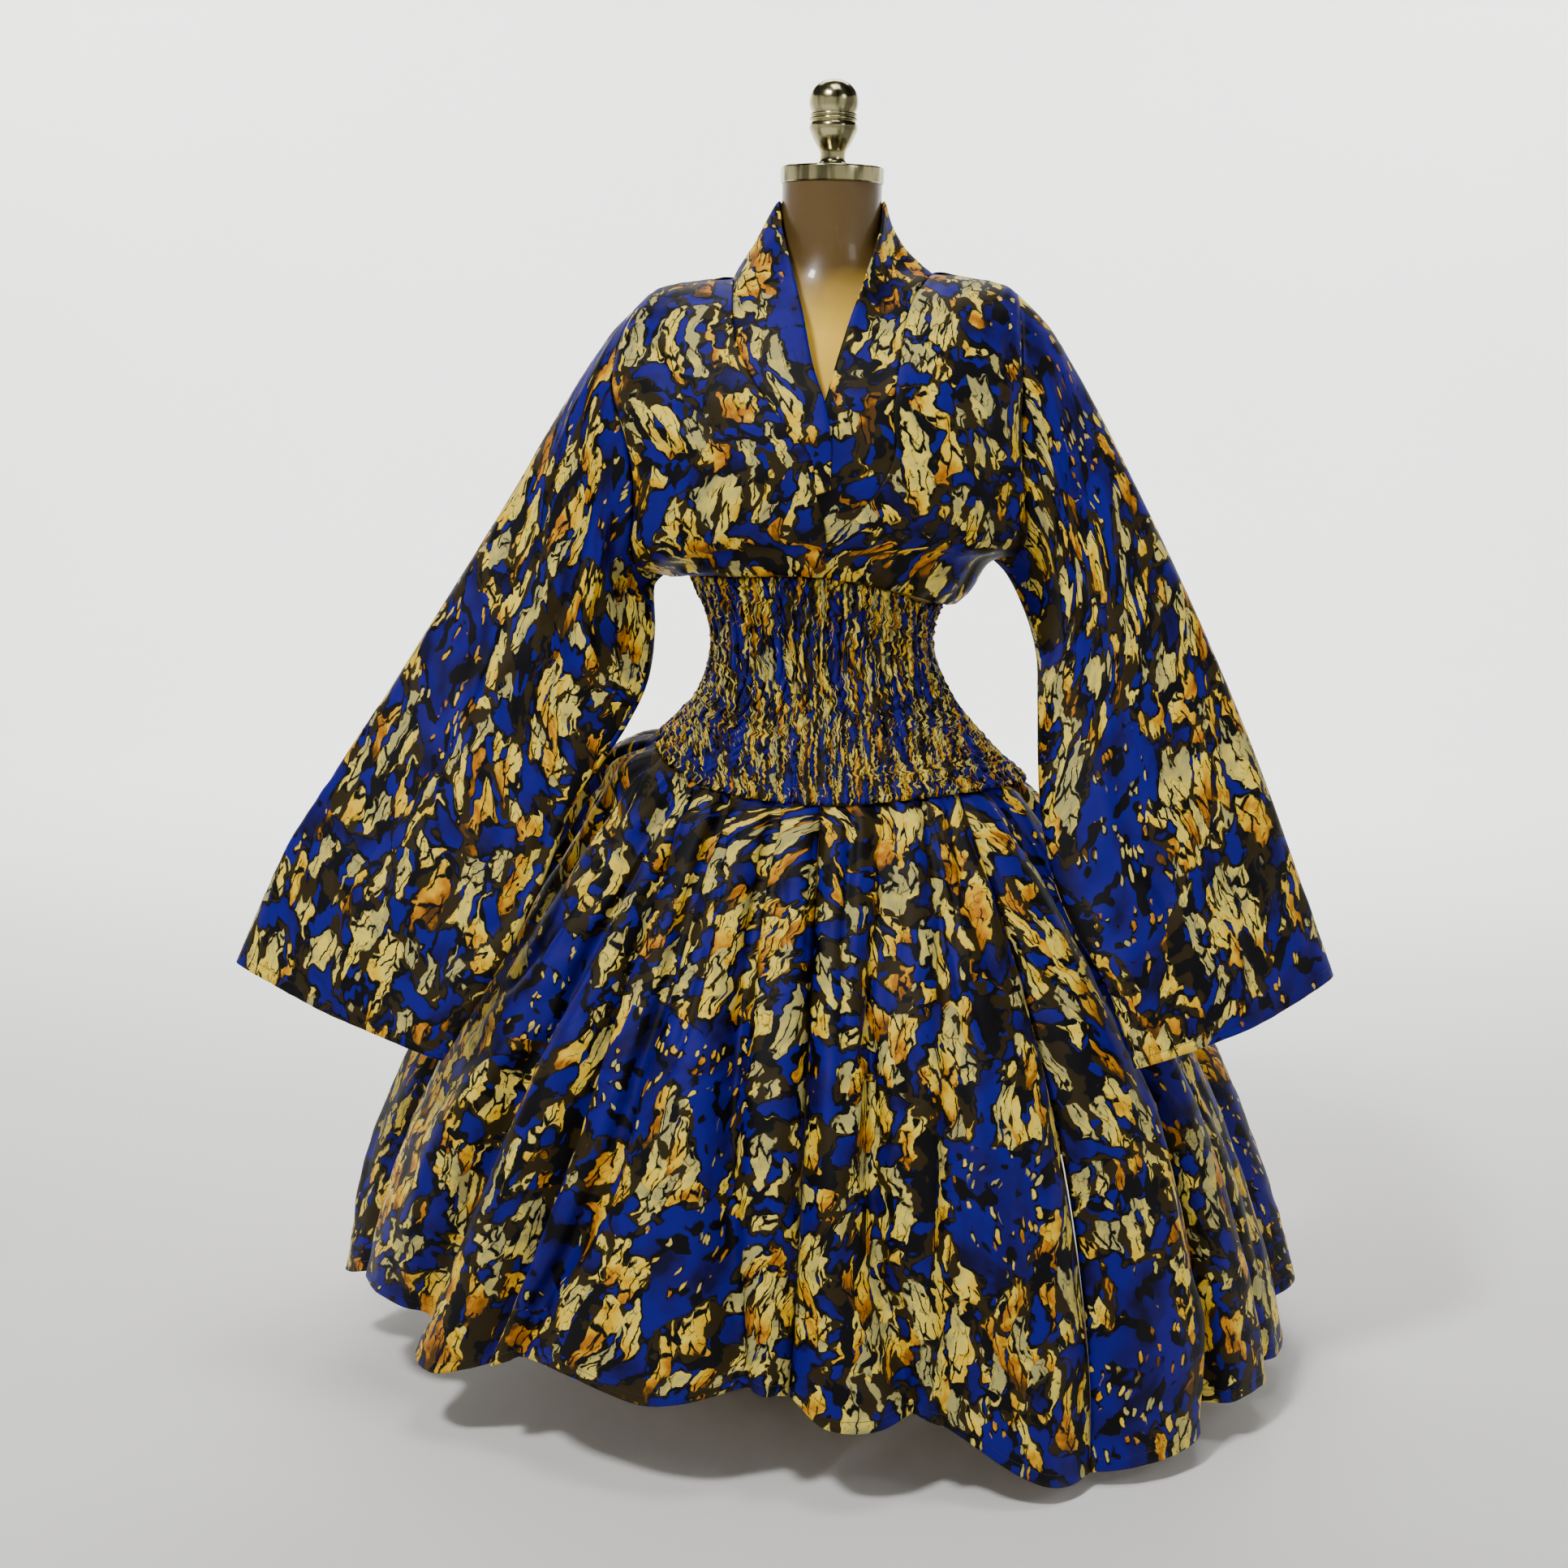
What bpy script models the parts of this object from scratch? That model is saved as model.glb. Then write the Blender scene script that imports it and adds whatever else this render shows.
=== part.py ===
"""Printed cotton kimono dress with wide sleeves, worn by a limbless dress form.

Metres, +Z up, the wearer's front towards -Y. The origin is on the floor, under the middle of the base.
"Right" and "left" are the wearer's own, so the wearer's right is at -X.
Every piece of cloth is a thin closed wall about a grid of points. The grids come from the tables below.
"""

import math

import bpy
import numpy as np

WALL = 0.002  # thickness of the cloth walls
SEAM = 0.0003  # clear gap between two pieces at a seam
RIGHT, LEFT = -1, 1  # the sign of X on each side of the wearer


def table(columns, rows):
    """Named columns from rows of numbers."""
    return dict(zip(columns.split(), np.array(rows, dtype=float).T))


# Heights of the waist and skirt seams. turn is the angle from the front, in degrees to the wearer's left
WAIST_SEAM = table("turn z", [
    (-180, 0.806), (-135, 0.808), (-90, 0.811), (-45, 0.814), (0, 0.818), (30, 0.805),
    (60, 0.789), (90, 0.790), (135, 0.799), (180, 0.806),
])
SKIRT_SEAM = table("turn z", [
    (-180, 0.622), (-135, 0.638), (-90, 0.648), (-60, 0.632), (-36, 0.614), (0, 0.604), (25, 0.609),
    (60, 0.612), (90, 0.607), (135, 0.612), (180, 0.622),
])

# Shirred waist: half width, depth to the front and to the back, and the shift of its middle in X, by height
WAIST = table("z wide front back shift", [
    (0.600, 0.210, 0.161, 0.166, 0.006), (0.620, 0.194, 0.148, 0.154, 0.005),
    (0.640, 0.173, 0.135, 0.138, 0.003), (0.660, 0.151, 0.123, 0.122, 0.003),
    (0.690, 0.128, 0.107, 0.102, 0.005), (0.715, 0.117, 0.099, 0.091, 0.003),
    (0.745, 0.1100, 0.096, 0.086, 0.000), (0.780, 0.117, 0.102, 0.090, 0.000),
    (0.820, 0.136, 0.113, 0.099, 0.000),
])
WAIST_ROWS = (0.0, 0.2, 0.37, 0.56, 0.78, 1.0)  # share of the way down the waist
GATHERS = 66  # gathers that the elastic draws up round the waist
GATHER_DEPTH = 0.0013

# Skirt: the mean surface, by height
SKIRT = table("z wide front back shift", [
    (0.000, 0.500, 0.398, 0.420, 0.016), (0.100, 0.478, 0.384, 0.405, 0.014),
    (0.200, 0.452, 0.366, 0.385, 0.006), (0.300, 0.413, 0.343, 0.358, 0.002),
    (0.400, 0.358, 0.298, 0.312, 0.000), (0.500, 0.288, 0.234, 0.248, 0.002),
    (0.560, 0.241, 0.192, 0.204, 0.004), (0.600, 0.208, 0.161, 0.168, 0.006),
    (0.650, 0.166, 0.129, 0.132, 0.003),
])
HEM = table("turn z", [
    (-180, 0.105), (-150, 0.112), (-125, 0.118), (-112, 0.112), (-97, 0.118), (-84, 0.081), (-72, 0.106),
    (-62, 0.102), (-54, 0.080), (-48, 0.070), (-42, 0.084), (-34, 0.106), (-27, 0.101), (-20, 0.089),
    (-12, 0.099), (-6, 0.105), (2, 0.075), (10, 0.083), (24, 0.018), (36, 0.020), (44, 0.026), (52, 0.042),
    (60, 0.044), (68, 0.042), (78, 0.044), (84, 0.066), (92, 0.076), (110, 0.088), (130, 0.096), (155, 0.102),
    (180, 0.105),
])
SKIRT_ROWS = (0.0, 0.03, 0.08, 0.17, 0.3, 0.45, 0.6, 0.75, 0.88, 1.0)  # share of the way down the skirt
# Skirt folds, one valley a row: where it starts, passes the middle and ends (degrees), how deep it is at the
# middle and at the hem, how wide on each side (degrees), how far the lobe after it stands out, and its columns
FOLDS = table("top middle hem deep hem_deep before after lobe columns", [
    (-93, -92, -90, 0.024, 0.030, 7, 6, 0.017, 2),
    (-74, -73, -76, 0.012, 0.009, 5, 5, 0.012, 2),
    (-50, -48, -58, 0.034, 0.026, 5, 8, 0.018, 3),
    (-40, -33, -42, 0.026, 0.014, 6, 1.5, 0.003, 1),
    (-30, -27, -38, 0.010, 0.014, 1.5, 4, 0.012, 3),
    (-14.5, -11.5, -9, 0.024, 0.016, 5, 2.5, 0.006, 1),
    (-1.5, -1.5, -4, 0.014, 0.012, 3, 4, 0.012, 1),
    (15.5, 8, 9.5, 0.026, 0.014, 6, 3, 0.004, 1),
    (27, 17.5, 13, 0.010, 0.006, 2.5, 5, 0.016, 3),
    (42, 36, 30, 0.022, 0.006, 6, 5, 0.014, 2),
    (56, 57, 50, 0.030, 0.026, 6, 2.5, 0.010, 2),
    (73, 69, 66, 0.020, 0.018, 5, 5, -0.003, 2),
    (90, 87, 83, 0.020, 0.020, 5, 6, 0.024, 2),
    (106, 105, 104, 0.024, 0.024, 6, 6, 0.014, 3),
    (124, 126, 128, 0.028, 0.026, 7, 5, 0.016, 2),
    (143, 144, 143, 0.018, 0.020, 5, 6, 0.014, 2),
    (160, 160, 162, 0.026, 0.024, 6, 6, 0.012, 2),
    (178, 179, 181, 0.022, 0.018, 5, 5, 0.018, 3),
    (197, 200, 203, 0.028, 0.026, 7, 6, 0.014, 2),
    (216, 218, 220, 0.020, 0.020, 5, 6, 0.016, 2),
    (234, 235, 238, 0.026, 0.024, 7, 5, 0.034, 2),
    (251, 253, 254, 0.018, 0.020, 5, 5, 0.004, 1),
])
PLEAT_DEPTH = 0.006  # how deep the folds are pressed in at the skirt seam
# At the wearer's right hip the top of the skirt stands out further, by the share of the way down it
HIP = table("share out", [(0.0, 0.0), (0.03, 0.030), (0.08, 0.028), (0.17, 0.013), (0.30, 0.0), (1.0, 0.0)])
HIP_TURN = -88  # its angle from the front
HIP_SPREAD = 50  # how far round it fades out, in degrees
SKIRT_PANELS = {  # the folds at whose valleys each panel begins and ends
    "skirt_right_front": (0, 6), "skirt_centre_left_front": (6, 9), "skirt_left_side_front": (9, 12),
    "skirt_left_back": (12, 17), "skirt_right_back": (17, 22),
}

# Bodice rows, from the shoulder seam (down = 0) to the underarm (1). right, left and edge place the armhole
BODICE = table("down right left edge front back edge_back", [
    (0.000, 0.180, 0.1860, 0.000, 0.000, 0.000, 0.000), (0.024, 0.184, 0.1865, 0.014, 0.028, 0.030, 0.014),
    (0.095, 0.196, 0.1870, 0.034, 0.064, 0.066, 0.033), (0.206, 0.207, 0.1880, 0.050, 0.094, 0.092, 0.047),
    (0.345, 0.210, 0.1890, 0.060, 0.118, 0.105, 0.056), (0.500, 0.197, 0.1890, 0.064, 0.133, 0.110, 0.059),
    (0.655, 0.189, 0.1910, 0.064, 0.140, 0.110, 0.058), (0.794, 0.189, 0.1960, 0.058, 0.141, 0.107, 0.052),
    (0.905, 0.191, 0.1990, 0.045, 0.138, 0.104, 0.041), (0.976, 0.182, 0.1900, 0.022, 0.132, 0.101, 0.021),
    (1.000, 0.160, 0.1700, 0.000, 0.128, 0.100, 0.000),
])
NECK_POINT = {RIGHT: (0.095, 1.103), LEFT: (0.100, 1.112)}  # where the band meets the shoulder: X, Z
SHOULDER_DROP = table("q drop", [
    (0.0, 0.0), (0.30, 0.0), (0.56, 0.0), (0.75, 0.0035), (0.88, 0.0080), (0.95, 0.0125), (1.0, 0.0185),
])
UNDERARM = {RIGHT: 0.8097, LEFT: 0.832}  # height of the underarm point
UNDERARM_MIDDLE = 0.846  # height of the same row at the centre front
BLOUSE = {"wide": 0.150, "front": 0.123, "back": 0.102}  # the bodice just above its waist seam
BLOUSE_DROP = {RIGHT: 0.004, LEFT: -0.012}  # how far the blousing hangs past the waist seam at the side
BLOUSE_RISE = 0.011  # how far above the waist seam it is fullest at the centre
BODICE_LIFT = 0.0014  # height of the bodice's lower edge above the seam line, as the edge is turned in
BODICE_SEAM = {"wide": 0.1375, "front": 0.1145, "back": 0.1005}
BODICE_GATHERS = 18  # columns of a bodice front, every second one drawn in at the waist
BODICE_GATHER_DEPTH = 0.0022
LAP = 0.0036  # how far the right front stands over the left one
LAP_FROM, LAP_TO = 0.10, 0.035  # where that rise begins and ends, as X to the wearer's right

# Inner edge of each front, which is the outer seam of the neckband down to where the band ends
FRONT_EDGE = {
    RIGHT: table("z x", [
        (0.80, 0.001), (0.876, -0.003), (0.90, -0.0108), (0.929, -0.0146), (0.945, -0.0225),
        (0.957, -0.036), (0.995, -0.063), (1.025, -0.085), (1.045, -0.0905), (1.103, -0.095),
    ]),
    LEFT: table("z x", [
        (0.78, -0.022), (0.83, -0.019), (0.85, 0.003), (0.87, 0.021), (0.891, 0.0375), (0.913, 0.055),
        (0.935, 0.0625), (0.985, 0.0605), (1.03, 0.0675), (1.085, 0.080), (1.112, 0.100),
    ]),
}
BAND_TOP_RADIUS = 0.0516  # it hugs the neck of the form
# Free edge of the neckband, by the height of its outer seam. deep is how far it is in front of the neck's axis
BAND_EDGE = {
    RIGHT: table("seam_z x z deep", [
        (0.876, 0.0005, 0.874, 0.140), (0.90, 0.0030, 0.905, 0.139), (0.93, 0.003, 0.94, 0.135),
        (0.957, 0.000, 0.972, 0.130), (0.995, -0.0085, 0.995, 0.126), (1.025, -0.0205, 1.037, 0.110),
        (1.056, -0.030, 1.084, 0.094), (1.080, -0.039, 1.115, 0.073), (1.095, -0.0475, 1.146, 0.040),
        (1.103, -BAND_TOP_RADIUS, 1.178, 0.004)]),
    LEFT: table("seam_z x z deep", [
        (0.85, -0.0225, 0.853, 0.134), (0.87, -0.0225, 0.872, 0.138), (0.90, -0.0215, 0.905, 0.1375),
        (0.93, -0.019, 0.94, 0.134), (0.957, -0.012, 0.967, 0.129), (0.985, -0.004, 0.985, 0.1255),
        (1.03, 0.0095, 1.035, 0.109), (1.062, 0.020, 1.068, 0.099), (1.09, 0.033, 1.105, 0.078),
        (1.105, 0.046, 1.145, 0.040), (1.112, BAND_TOP_RADIUS, 1.180, 0.004)]),
}
BAND_COLUMNS = 3
BAND_HOLLOW = {RIGHT: 0.0, LEFT: 0.010}  # how far the band sags between its edges beside the neck
CHEST_TOP, NECK_BASE = 1.0, 1.05  # below the first the band lies on the chest, above the second it stands free
BACK_NECK_DEPTH = 0.066  # how far behind the neck's axis the back neck seam runs
BACK_NECK_Z = 1.100
BAND_TOP_Z = 1.172  # top of the band behind the neck
BACK_COLUMNS = {"shoulder": 5, "neck": 5}  # columns of half the back, outside and inside the neck point

# Sleeves: over-arm edge (o) and underarm edge (u), from the armhole (0) to the cuff (1), and half the thickness
SLEEVE = {
    RIGHT: table("along ox oy oz ux uy uz thick", [
        (0.00, -0.180, 0.000, 1.0845, -0.160, 0.000, 0.810, 0.060),
        (0.05, -0.206, -0.002, 1.057, -0.170, -0.002, 0.799, 0.056),
        (0.15, -0.2505, -0.008, 0.994, -0.168, -0.024, 0.735, 0.047),
        (0.30, -0.310, -0.022, 0.891, -0.191, -0.070, 0.667, 0.036),
        (0.50, -0.389, -0.050, 0.759, -0.240, -0.122, 0.592, 0.028),
        (0.70, -0.468, -0.078, 0.629, -0.275, -0.170, 0.500, 0.024),
        (0.85, -0.529, -0.100, 0.530, -0.315, -0.199, 0.426, 0.022),
        (1.00, -0.572, -0.120, 0.428, -0.355, -0.216, 0.360, 0.022)]),
    LEFT: table("along ox oy oz ux uy uz thick", [
        (0.00, 0.186, 0.000, 1.0935, 0.170, 0.000, 0.832, 0.060),
        (0.05, 0.213, -0.003, 1.068, 0.184, -0.003, 0.819, 0.056),
        (0.15, 0.2535, -0.010, 1.007, 0.209, -0.030, 0.766, 0.047),
        (0.30, 0.3065, -0.027, 0.911, 0.214, -0.072, 0.700, 0.036),
        (0.50, 0.373, -0.051, 0.779, 0.215, -0.125, 0.598, 0.028),
        (0.70, 0.432, -0.081, 0.645, 0.238, -0.174, 0.506, 0.024),
        (0.85, 0.472, -0.100, 0.541, 0.276, -0.212, 0.444, 0.022),
        (1.00, 0.511, -0.120, 0.438, 0.301, -0.238, 0.373, 0.022)]),
}
SLEEVE_ROWS = (0.0, 0.05, 0.12, 0.2, 0.3, 0.41, 0.52, 0.63, 0.74, 0.84, 0.93, 1.0)
ARMHOLE_FADE = 0.4  # share of the sleeve over which the armhole's shape fades out
CUFF_SAG = {RIGHT: 0.004, LEFT: 0.009}  # how far the cuff's middle hangs below a straight line
SLEEVE_FOLD = 0.004  # height of the long soft folds down a sleeve
SLEEVE_BOW = {RIGHT: 0.036, LEFT: 0.020}  # how far the grain of the lower sleeve bows out below the armhole
BOW_END = 0.55  # share of the sleeve over which the bow fades out

# Dress form: half width, depth to the front and to the back, by height
FORM = table("z wide front back power", [
    (0.500, 0.138, 0.104, 0.120, 2.1), (0.530, 0.150, 0.113, 0.130, 2.1), (0.570, 0.157, 0.117, 0.132, 2.1),
    (0.610, 0.155, 0.114, 0.124, 2.1), (0.640, 0.144, 0.107, 0.111, 2.1), (0.670, 0.128, 0.098, 0.096, 2.0),
    (0.700, 0.112, 0.092, 0.085, 2.0), (0.725, 0.105, 0.0905, 0.0815, 2.0), (0.745, 0.105, 0.0910, 0.0810, 2.0),
    (0.770, 0.107, 0.093, 0.082, 2.0), (0.800, 0.117, 0.099, 0.087, 2.05), (0.840, 0.129, 0.114, 0.092, 2.15),
    (0.880, 0.139, 0.126, 0.096, 2.2), (0.915, 0.144, 0.127, 0.098, 2.2), (0.950, 0.149, 0.119, 0.099, 2.2),
    (0.990, 0.157, 0.106, 0.098, 2.2), (1.025, 0.163, 0.093, 0.090, 2.2), (1.050, 0.161, 0.082, 0.080, 2.15),
    (1.070, 0.146, 0.074, 0.071, 2.1), (1.086, 0.112, 0.067, 0.064, 2.0), (1.098, 0.079, 0.061, 0.059, 2.0),
    (1.112, 0.060, 0.056, 0.0545, 2.0), (1.130, 0.0515, 0.0515, 0.0510, 2.0), (1.155, 0.0495, 0.0495, 0.0495, 2.0),
    (1.195, 0.0490, 0.0490, 0.0490, 2.0),
])
FORM_COLUMNS = 28

# Turned pieces: half of each outline, radius and height
CAP_BOTTOM = 1.1953
CAP = [(0.0, 0.0), (0.0500, 0.0), (0.0510, 0.0012), (0.0510, 0.0135), (0.0492, 0.0160), (0.0, 0.0168)]
FINIAL = [
    (0.0, 0.0), (0.0165, 0.0), (0.0165, 0.0022), (0.0128, 0.0050), (0.0124, 0.0125), (0.0160, 0.0195),
    (0.0215, 0.0300), (0.0240, 0.0385), (0.0232, 0.0440), (0.0205, 0.0470), (0.0216, 0.0490), (0.0205, 0.0510),
    (0.0228, 0.0545), (0.0242, 0.0605), (0.0226, 0.0690), (0.0172, 0.0765), (0.0090, 0.0812), (0.0, 0.0824),
]
FINIAL_BOTTOM = CAP_BOTTOM + CAP[-1][1] + SEAM
BASE_RADIUS, BASE_HEIGHT = 0.140, 0.012
BASE = [(0.0, 0.0), (BASE_RADIUS, 0.0), (BASE_RADIUS, 0.008), (0.134, BASE_HEIGHT), (0.030, BASE_HEIGHT),
        (0.026, 0.030), (0.0, 0.030)]
POLE_RADIUS = 0.0125


def smooth(rows, key, at, name):
    """Cubic curve through one column of a table, with no kink at its rows."""
    keys, values = rows[key], rows[name]
    slopes = np.gradient(values, keys)
    i = np.clip(np.searchsorted(keys, at) - 1, 0, len(keys) - 2)
    width = keys[i + 1] - keys[i]
    f = np.clip((at - keys[i]) / width, 0.0, 1.0)
    ends = (1 + 2 * f) * (1 - f) ** 2 * values[i] + f * f * (3 - 2 * f) * values[i + 1]
    return ends + width * (f * (1 - f) ** 2 * slopes[i] + f * f * (f - 1) * slopes[i + 1])


def unit(vectors):
    """The same directions with length 1."""
    return vectors / np.linalg.norm(vectors, axis=-1, keepdims=True)


def normals(grid, closed=False):
    """Outward direction at each point of a grid; a closed grid runs on from its last column to its first."""
    if closed:
        across = np.roll(grid, -1, axis=1) - np.roll(grid, 1, axis=1)
    else:
        across = np.gradient(grid, axis=1)
    return unit(np.cross(np.gradient(grid, axis=0), across))


def material(name, colour, roughness, metallic=0.0):
    """Plain Principled material."""
    made = bpy.data.materials.get(name) or bpy.data.materials.new(name)
    made.use_nodes = True
    shader = made.node_tree.nodes["Principled BSDF"]
    shader.inputs["Base Color"].default_value = (*colour, 1.0)
    shader.inputs["Roughness"].default_value = roughness
    shader.inputs["Metallic"].default_value = metallic
    made.diffuse_color = (*colour, 1.0)
    return made


def solid(name, points, faces, paint, sharp=math.radians(40)):
    """Object from points and faces, turned to face outwards and shaded smooth."""
    points = np.asarray(points)
    volume = 0.0
    for face in faces:
        a = points[face[0]]
        for i in range(1, len(face) - 1):
            volume += np.dot(a, np.cross(points[face[i]], points[face[i + 1]]))
    if volume < 0:
        faces = [tuple(reversed(face)) for face in faces]
    mesh = bpy.data.meshes.new(name)
    mesh.from_pydata([tuple(p) for p in points], [], faces)
    mesh.shade_smooth()
    mesh.set_sharp_from_angle(angle=sharp)
    mesh.materials.append(paint)
    thing = bpy.data.objects.new(name, mesh)
    bpy.context.collection.objects.link(thing)
    return thing


def wall(name, grid, out, paint):
    """Closed cloth wall about a grid of points, half its thickness to each side."""
    rows, columns = grid.shape[:2]
    count = rows * columns
    points = np.concatenate([(grid + out * WALL / 2).reshape(-1, 3), (grid - out * WALL / 2).reshape(-1, 3)])
    faces = []
    for row in range(rows - 1):
        for column in range(columns - 1):
            a = row * columns + column
            b, c, d = a + 1, a + columns + 1, a + columns
            faces += [(a, b, c), (a, c, d)]
            faces += [(count + a, count + c, count + b), (count + a, count + d, count + c)]
    rim = list(range(columns)) + [row * columns + columns - 1 for row in range(1, rows)]
    rim += [(rows - 1) * columns + column for column in range(columns - 2, -1, -1)]
    rim += [row * columns for row in range(rows - 2, 0, -1)]
    for a, b in zip(rim, rim[1:] + rim[:1]):
        faces.append((b, a, count + a, count + b))
    return solid(name, points, faces, paint)


def panel(name, ring, out, first, last, paint):
    """Part of a closed ring of cloth, from one column to another, half a seam gap short at each end."""
    columns = ring.shape[1]
    pick = [column % columns for column in range(first, last + 1)]
    grid = ring[:, pick].copy()
    along = unit(np.roll(ring, -1, axis=1) - np.roll(ring, 1, axis=1))
    grid[:, 0] += along[:, pick[0]] * SEAM / 2
    grid[:, -1] -= along[:, pick[-1]] * SEAM / 2
    return wall(name, grid, out[:, pick], paint)


def level(out, row):
    """Lay one row's outward directions flat, so that a seam there is cut square."""
    out[row, :, 2] = 0.0
    out[row] = unit(out[row])


def superellipse(turn, wide, front, back, power=2.0):
    """Point of a body section at an angle from the front; a power over 2 squares the section a little."""
    x, y = np.sin(turn), -np.cos(turn)
    return (wide * np.sign(x) * np.abs(x) ** (2 / power),
            np.where(y < 0, front, back) * np.sign(y) * np.abs(y) ** (2 / power))


def seam_height(seam, turn):
    """Height of a seam at an angle in degrees."""
    return smooth(seam, "turn", (turn + 180) % 360 - 180, "z")


def waist_ring():
    """Grid of the shirred waist, from its bodice seam down, with a column at each gather's crest and valley."""
    turns = np.arange(2 * GATHERS) * 180.0 / GATHERS - 90.0
    top = seam_height(WAIST_SEAM, turns) - SEAM
    bottom = seam_height(SKIRT_SEAM, turns) + SEAM
    draw = np.where(np.arange(2 * GATHERS) % 2, GATHER_DEPTH, -GATHER_DEPTH)
    ring = []
    for share in WAIST_ROWS:
        z = top + share * (bottom - top)
        size = {name: smooth(WAIST, "z", z, name) for name in ("wide", "front", "back", "shift")}
        deep = draw * size["wide"] / WAIST["wide"].min()
        wide, front, back = (size[name] + deep for name in ("wide", "front", "back"))
        x, y = superellipse(np.radians(turns), wide, front, back)
        ring.append(np.stack([x + size["shift"], y, z], axis=1))
    ring = np.array(ring)
    out = normals(ring, closed=True)
    level(out, 0)
    level(out, -1)
    return ring, out


def fold_angle(fold, share):
    """Angle of a fold's valley at a share of the way down, on a curve through its three angles."""
    top, middle, hem = (FOLDS[name][fold % len(FOLDS["top"])] for name in ("top", "middle", "hem"))
    turns = 360 * (fold // len(FOLDS["top"]))
    turns += top * (1 - share) * (1 - 2 * share)
    return turns + 4 * middle * share * (1 - share) + hem * share * (2 * share - 1)


def fold_depth(fold, share):
    """Depth of a valley at a share of the way down."""
    fold %= len(FOLDS["top"])
    middle, hem = FOLDS["deep"][fold], FOLDS["hem_deep"][fold]
    if share < 0.5:
        return PLEAT_DEPTH + (middle - PLEAT_DEPTH) * math.sin(math.pi * share) ** 0.8
    return middle + (hem - middle) * (2 * share - 1)


def skirt_offset(fold, part, share):
    """How far the cloth stands off the mean surface, a part of the way from one valley to the next."""
    here, there = fold % len(FOLDS["top"]), (fold + 1) % len(FOLDS["top"])
    gap = fold_angle(fold + 1, share) - fold_angle(fold, share)
    after, before = FOLDS["after"][here] / gap, FOLDS["before"][there] / gap
    dip = fold_depth(fold, share) * (1 + math.cos(math.pi * min(part / after, 1.0))) / 2
    dip += fold_depth(fold + 1, share) * (1 + math.cos(math.pi * min((1 - part) / before, 1.0))) / 2
    return FOLDS["lobe"][here] * math.sin(math.pi * part) ** 0.8 * min(1.0, 2.2 * share) - dip


def fold_parts(fold):
    """Where the columns from one valley to the next lie: valley, near flank, lobe and far flank."""
    here, there = fold, (fold + 1) % len(FOLDS["top"])
    gap = fold_angle(fold + 1, 0.6) - fold_angle(fold, 0.6)
    near, far = 0.8 * FOLDS["after"][here] / gap, 1 - 0.8 * FOLDS["before"][there] / gap
    count = int(FOLDS["columns"][here])
    if far - near < 0.2:
        near, far, count = 0.3, 0.7, 0
    return [0.0, near] + [near + (far - near) * (i + 1) / (count + 1) for i in range(count)] + [far]


def skirt_ring():
    """Grid of the skirt from its seam to its hem, and the column where each fold's valley is."""
    columns = [(fold, part) for fold in range(len(FOLDS["top"])) for part in fold_parts(fold)]
    valleys = [i for i, (fold, part) in enumerate(columns) if part == 0.0]
    ring = []
    for share in SKIRT_ROWS:
        row = []
        for fold, part in columns:
            turn = fold_angle(fold, share) + part * (fold_angle(fold + 1, share) - fold_angle(fold, share))
            top, hem = seam_height(SKIRT_SEAM, turn) - SEAM, seam_height(HEM, turn)
            z = top + share * (hem - top)
            off = skirt_offset(fold, part, share)
            beside = min(abs(turn - 360 * round((turn - HIP_TURN) / 360) - HIP_TURN) / HIP_SPREAD, 1.0)
            off += smooth(HIP, "share", share, "out") * math.cos(math.pi * beside / 2) ** 2
            wide, front, back, shift = (smooth(SKIRT, "z", z, n) for n in ("wide", "front", "back", "shift"))
            x, y = superellipse(math.radians(turn), wide + off, front + off, back + off)
            row.append((x + shift, y, z))
        ring.append(row)
    ring = np.array(ring)
    out = normals(ring, closed=True)
    level(out, 0)
    return ring, out, valleys


def row_height(side, down, q):
    """Height of a bodice row at q, the share of the way from the centre to the armhole."""
    ridge = NECK_POINT[side][1] - smooth(SHOULDER_DROP, "q", q, "drop")
    under = UNDERARM_MIDDLE + (UNDERARM[side] - UNDERARM_MIDDLE) * q**3
    return ridge - down * (ridge - under)


def bulge(q):
    """How full the bodice is at q, from 1 at the centre to 0 at the armhole edge."""
    return (1 - np.minimum(np.abs(q), 1.0) ** 2.5) ** 0.62


def lap(x):
    """How far the right front stands out over the left one at x."""
    f = np.clip((x + LAP_FROM) / (LAP_FROM - LAP_TO), 0.0, 1.0)
    return LAP * f * f * (3 - 2 * f)


def front_inner(side, down):
    """X of a front's inner edge on a row, found from the row's height there."""
    x = 0.05
    for _ in range(6):
        arm = smooth(BODICE, "down", down, "right" if side == RIGHT else "left")
        z = row_height(side, down, min(abs(x) / arm, 1.0))
        x = smooth(FRONT_EDGE[side], "z", z, "x")
    return x


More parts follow.
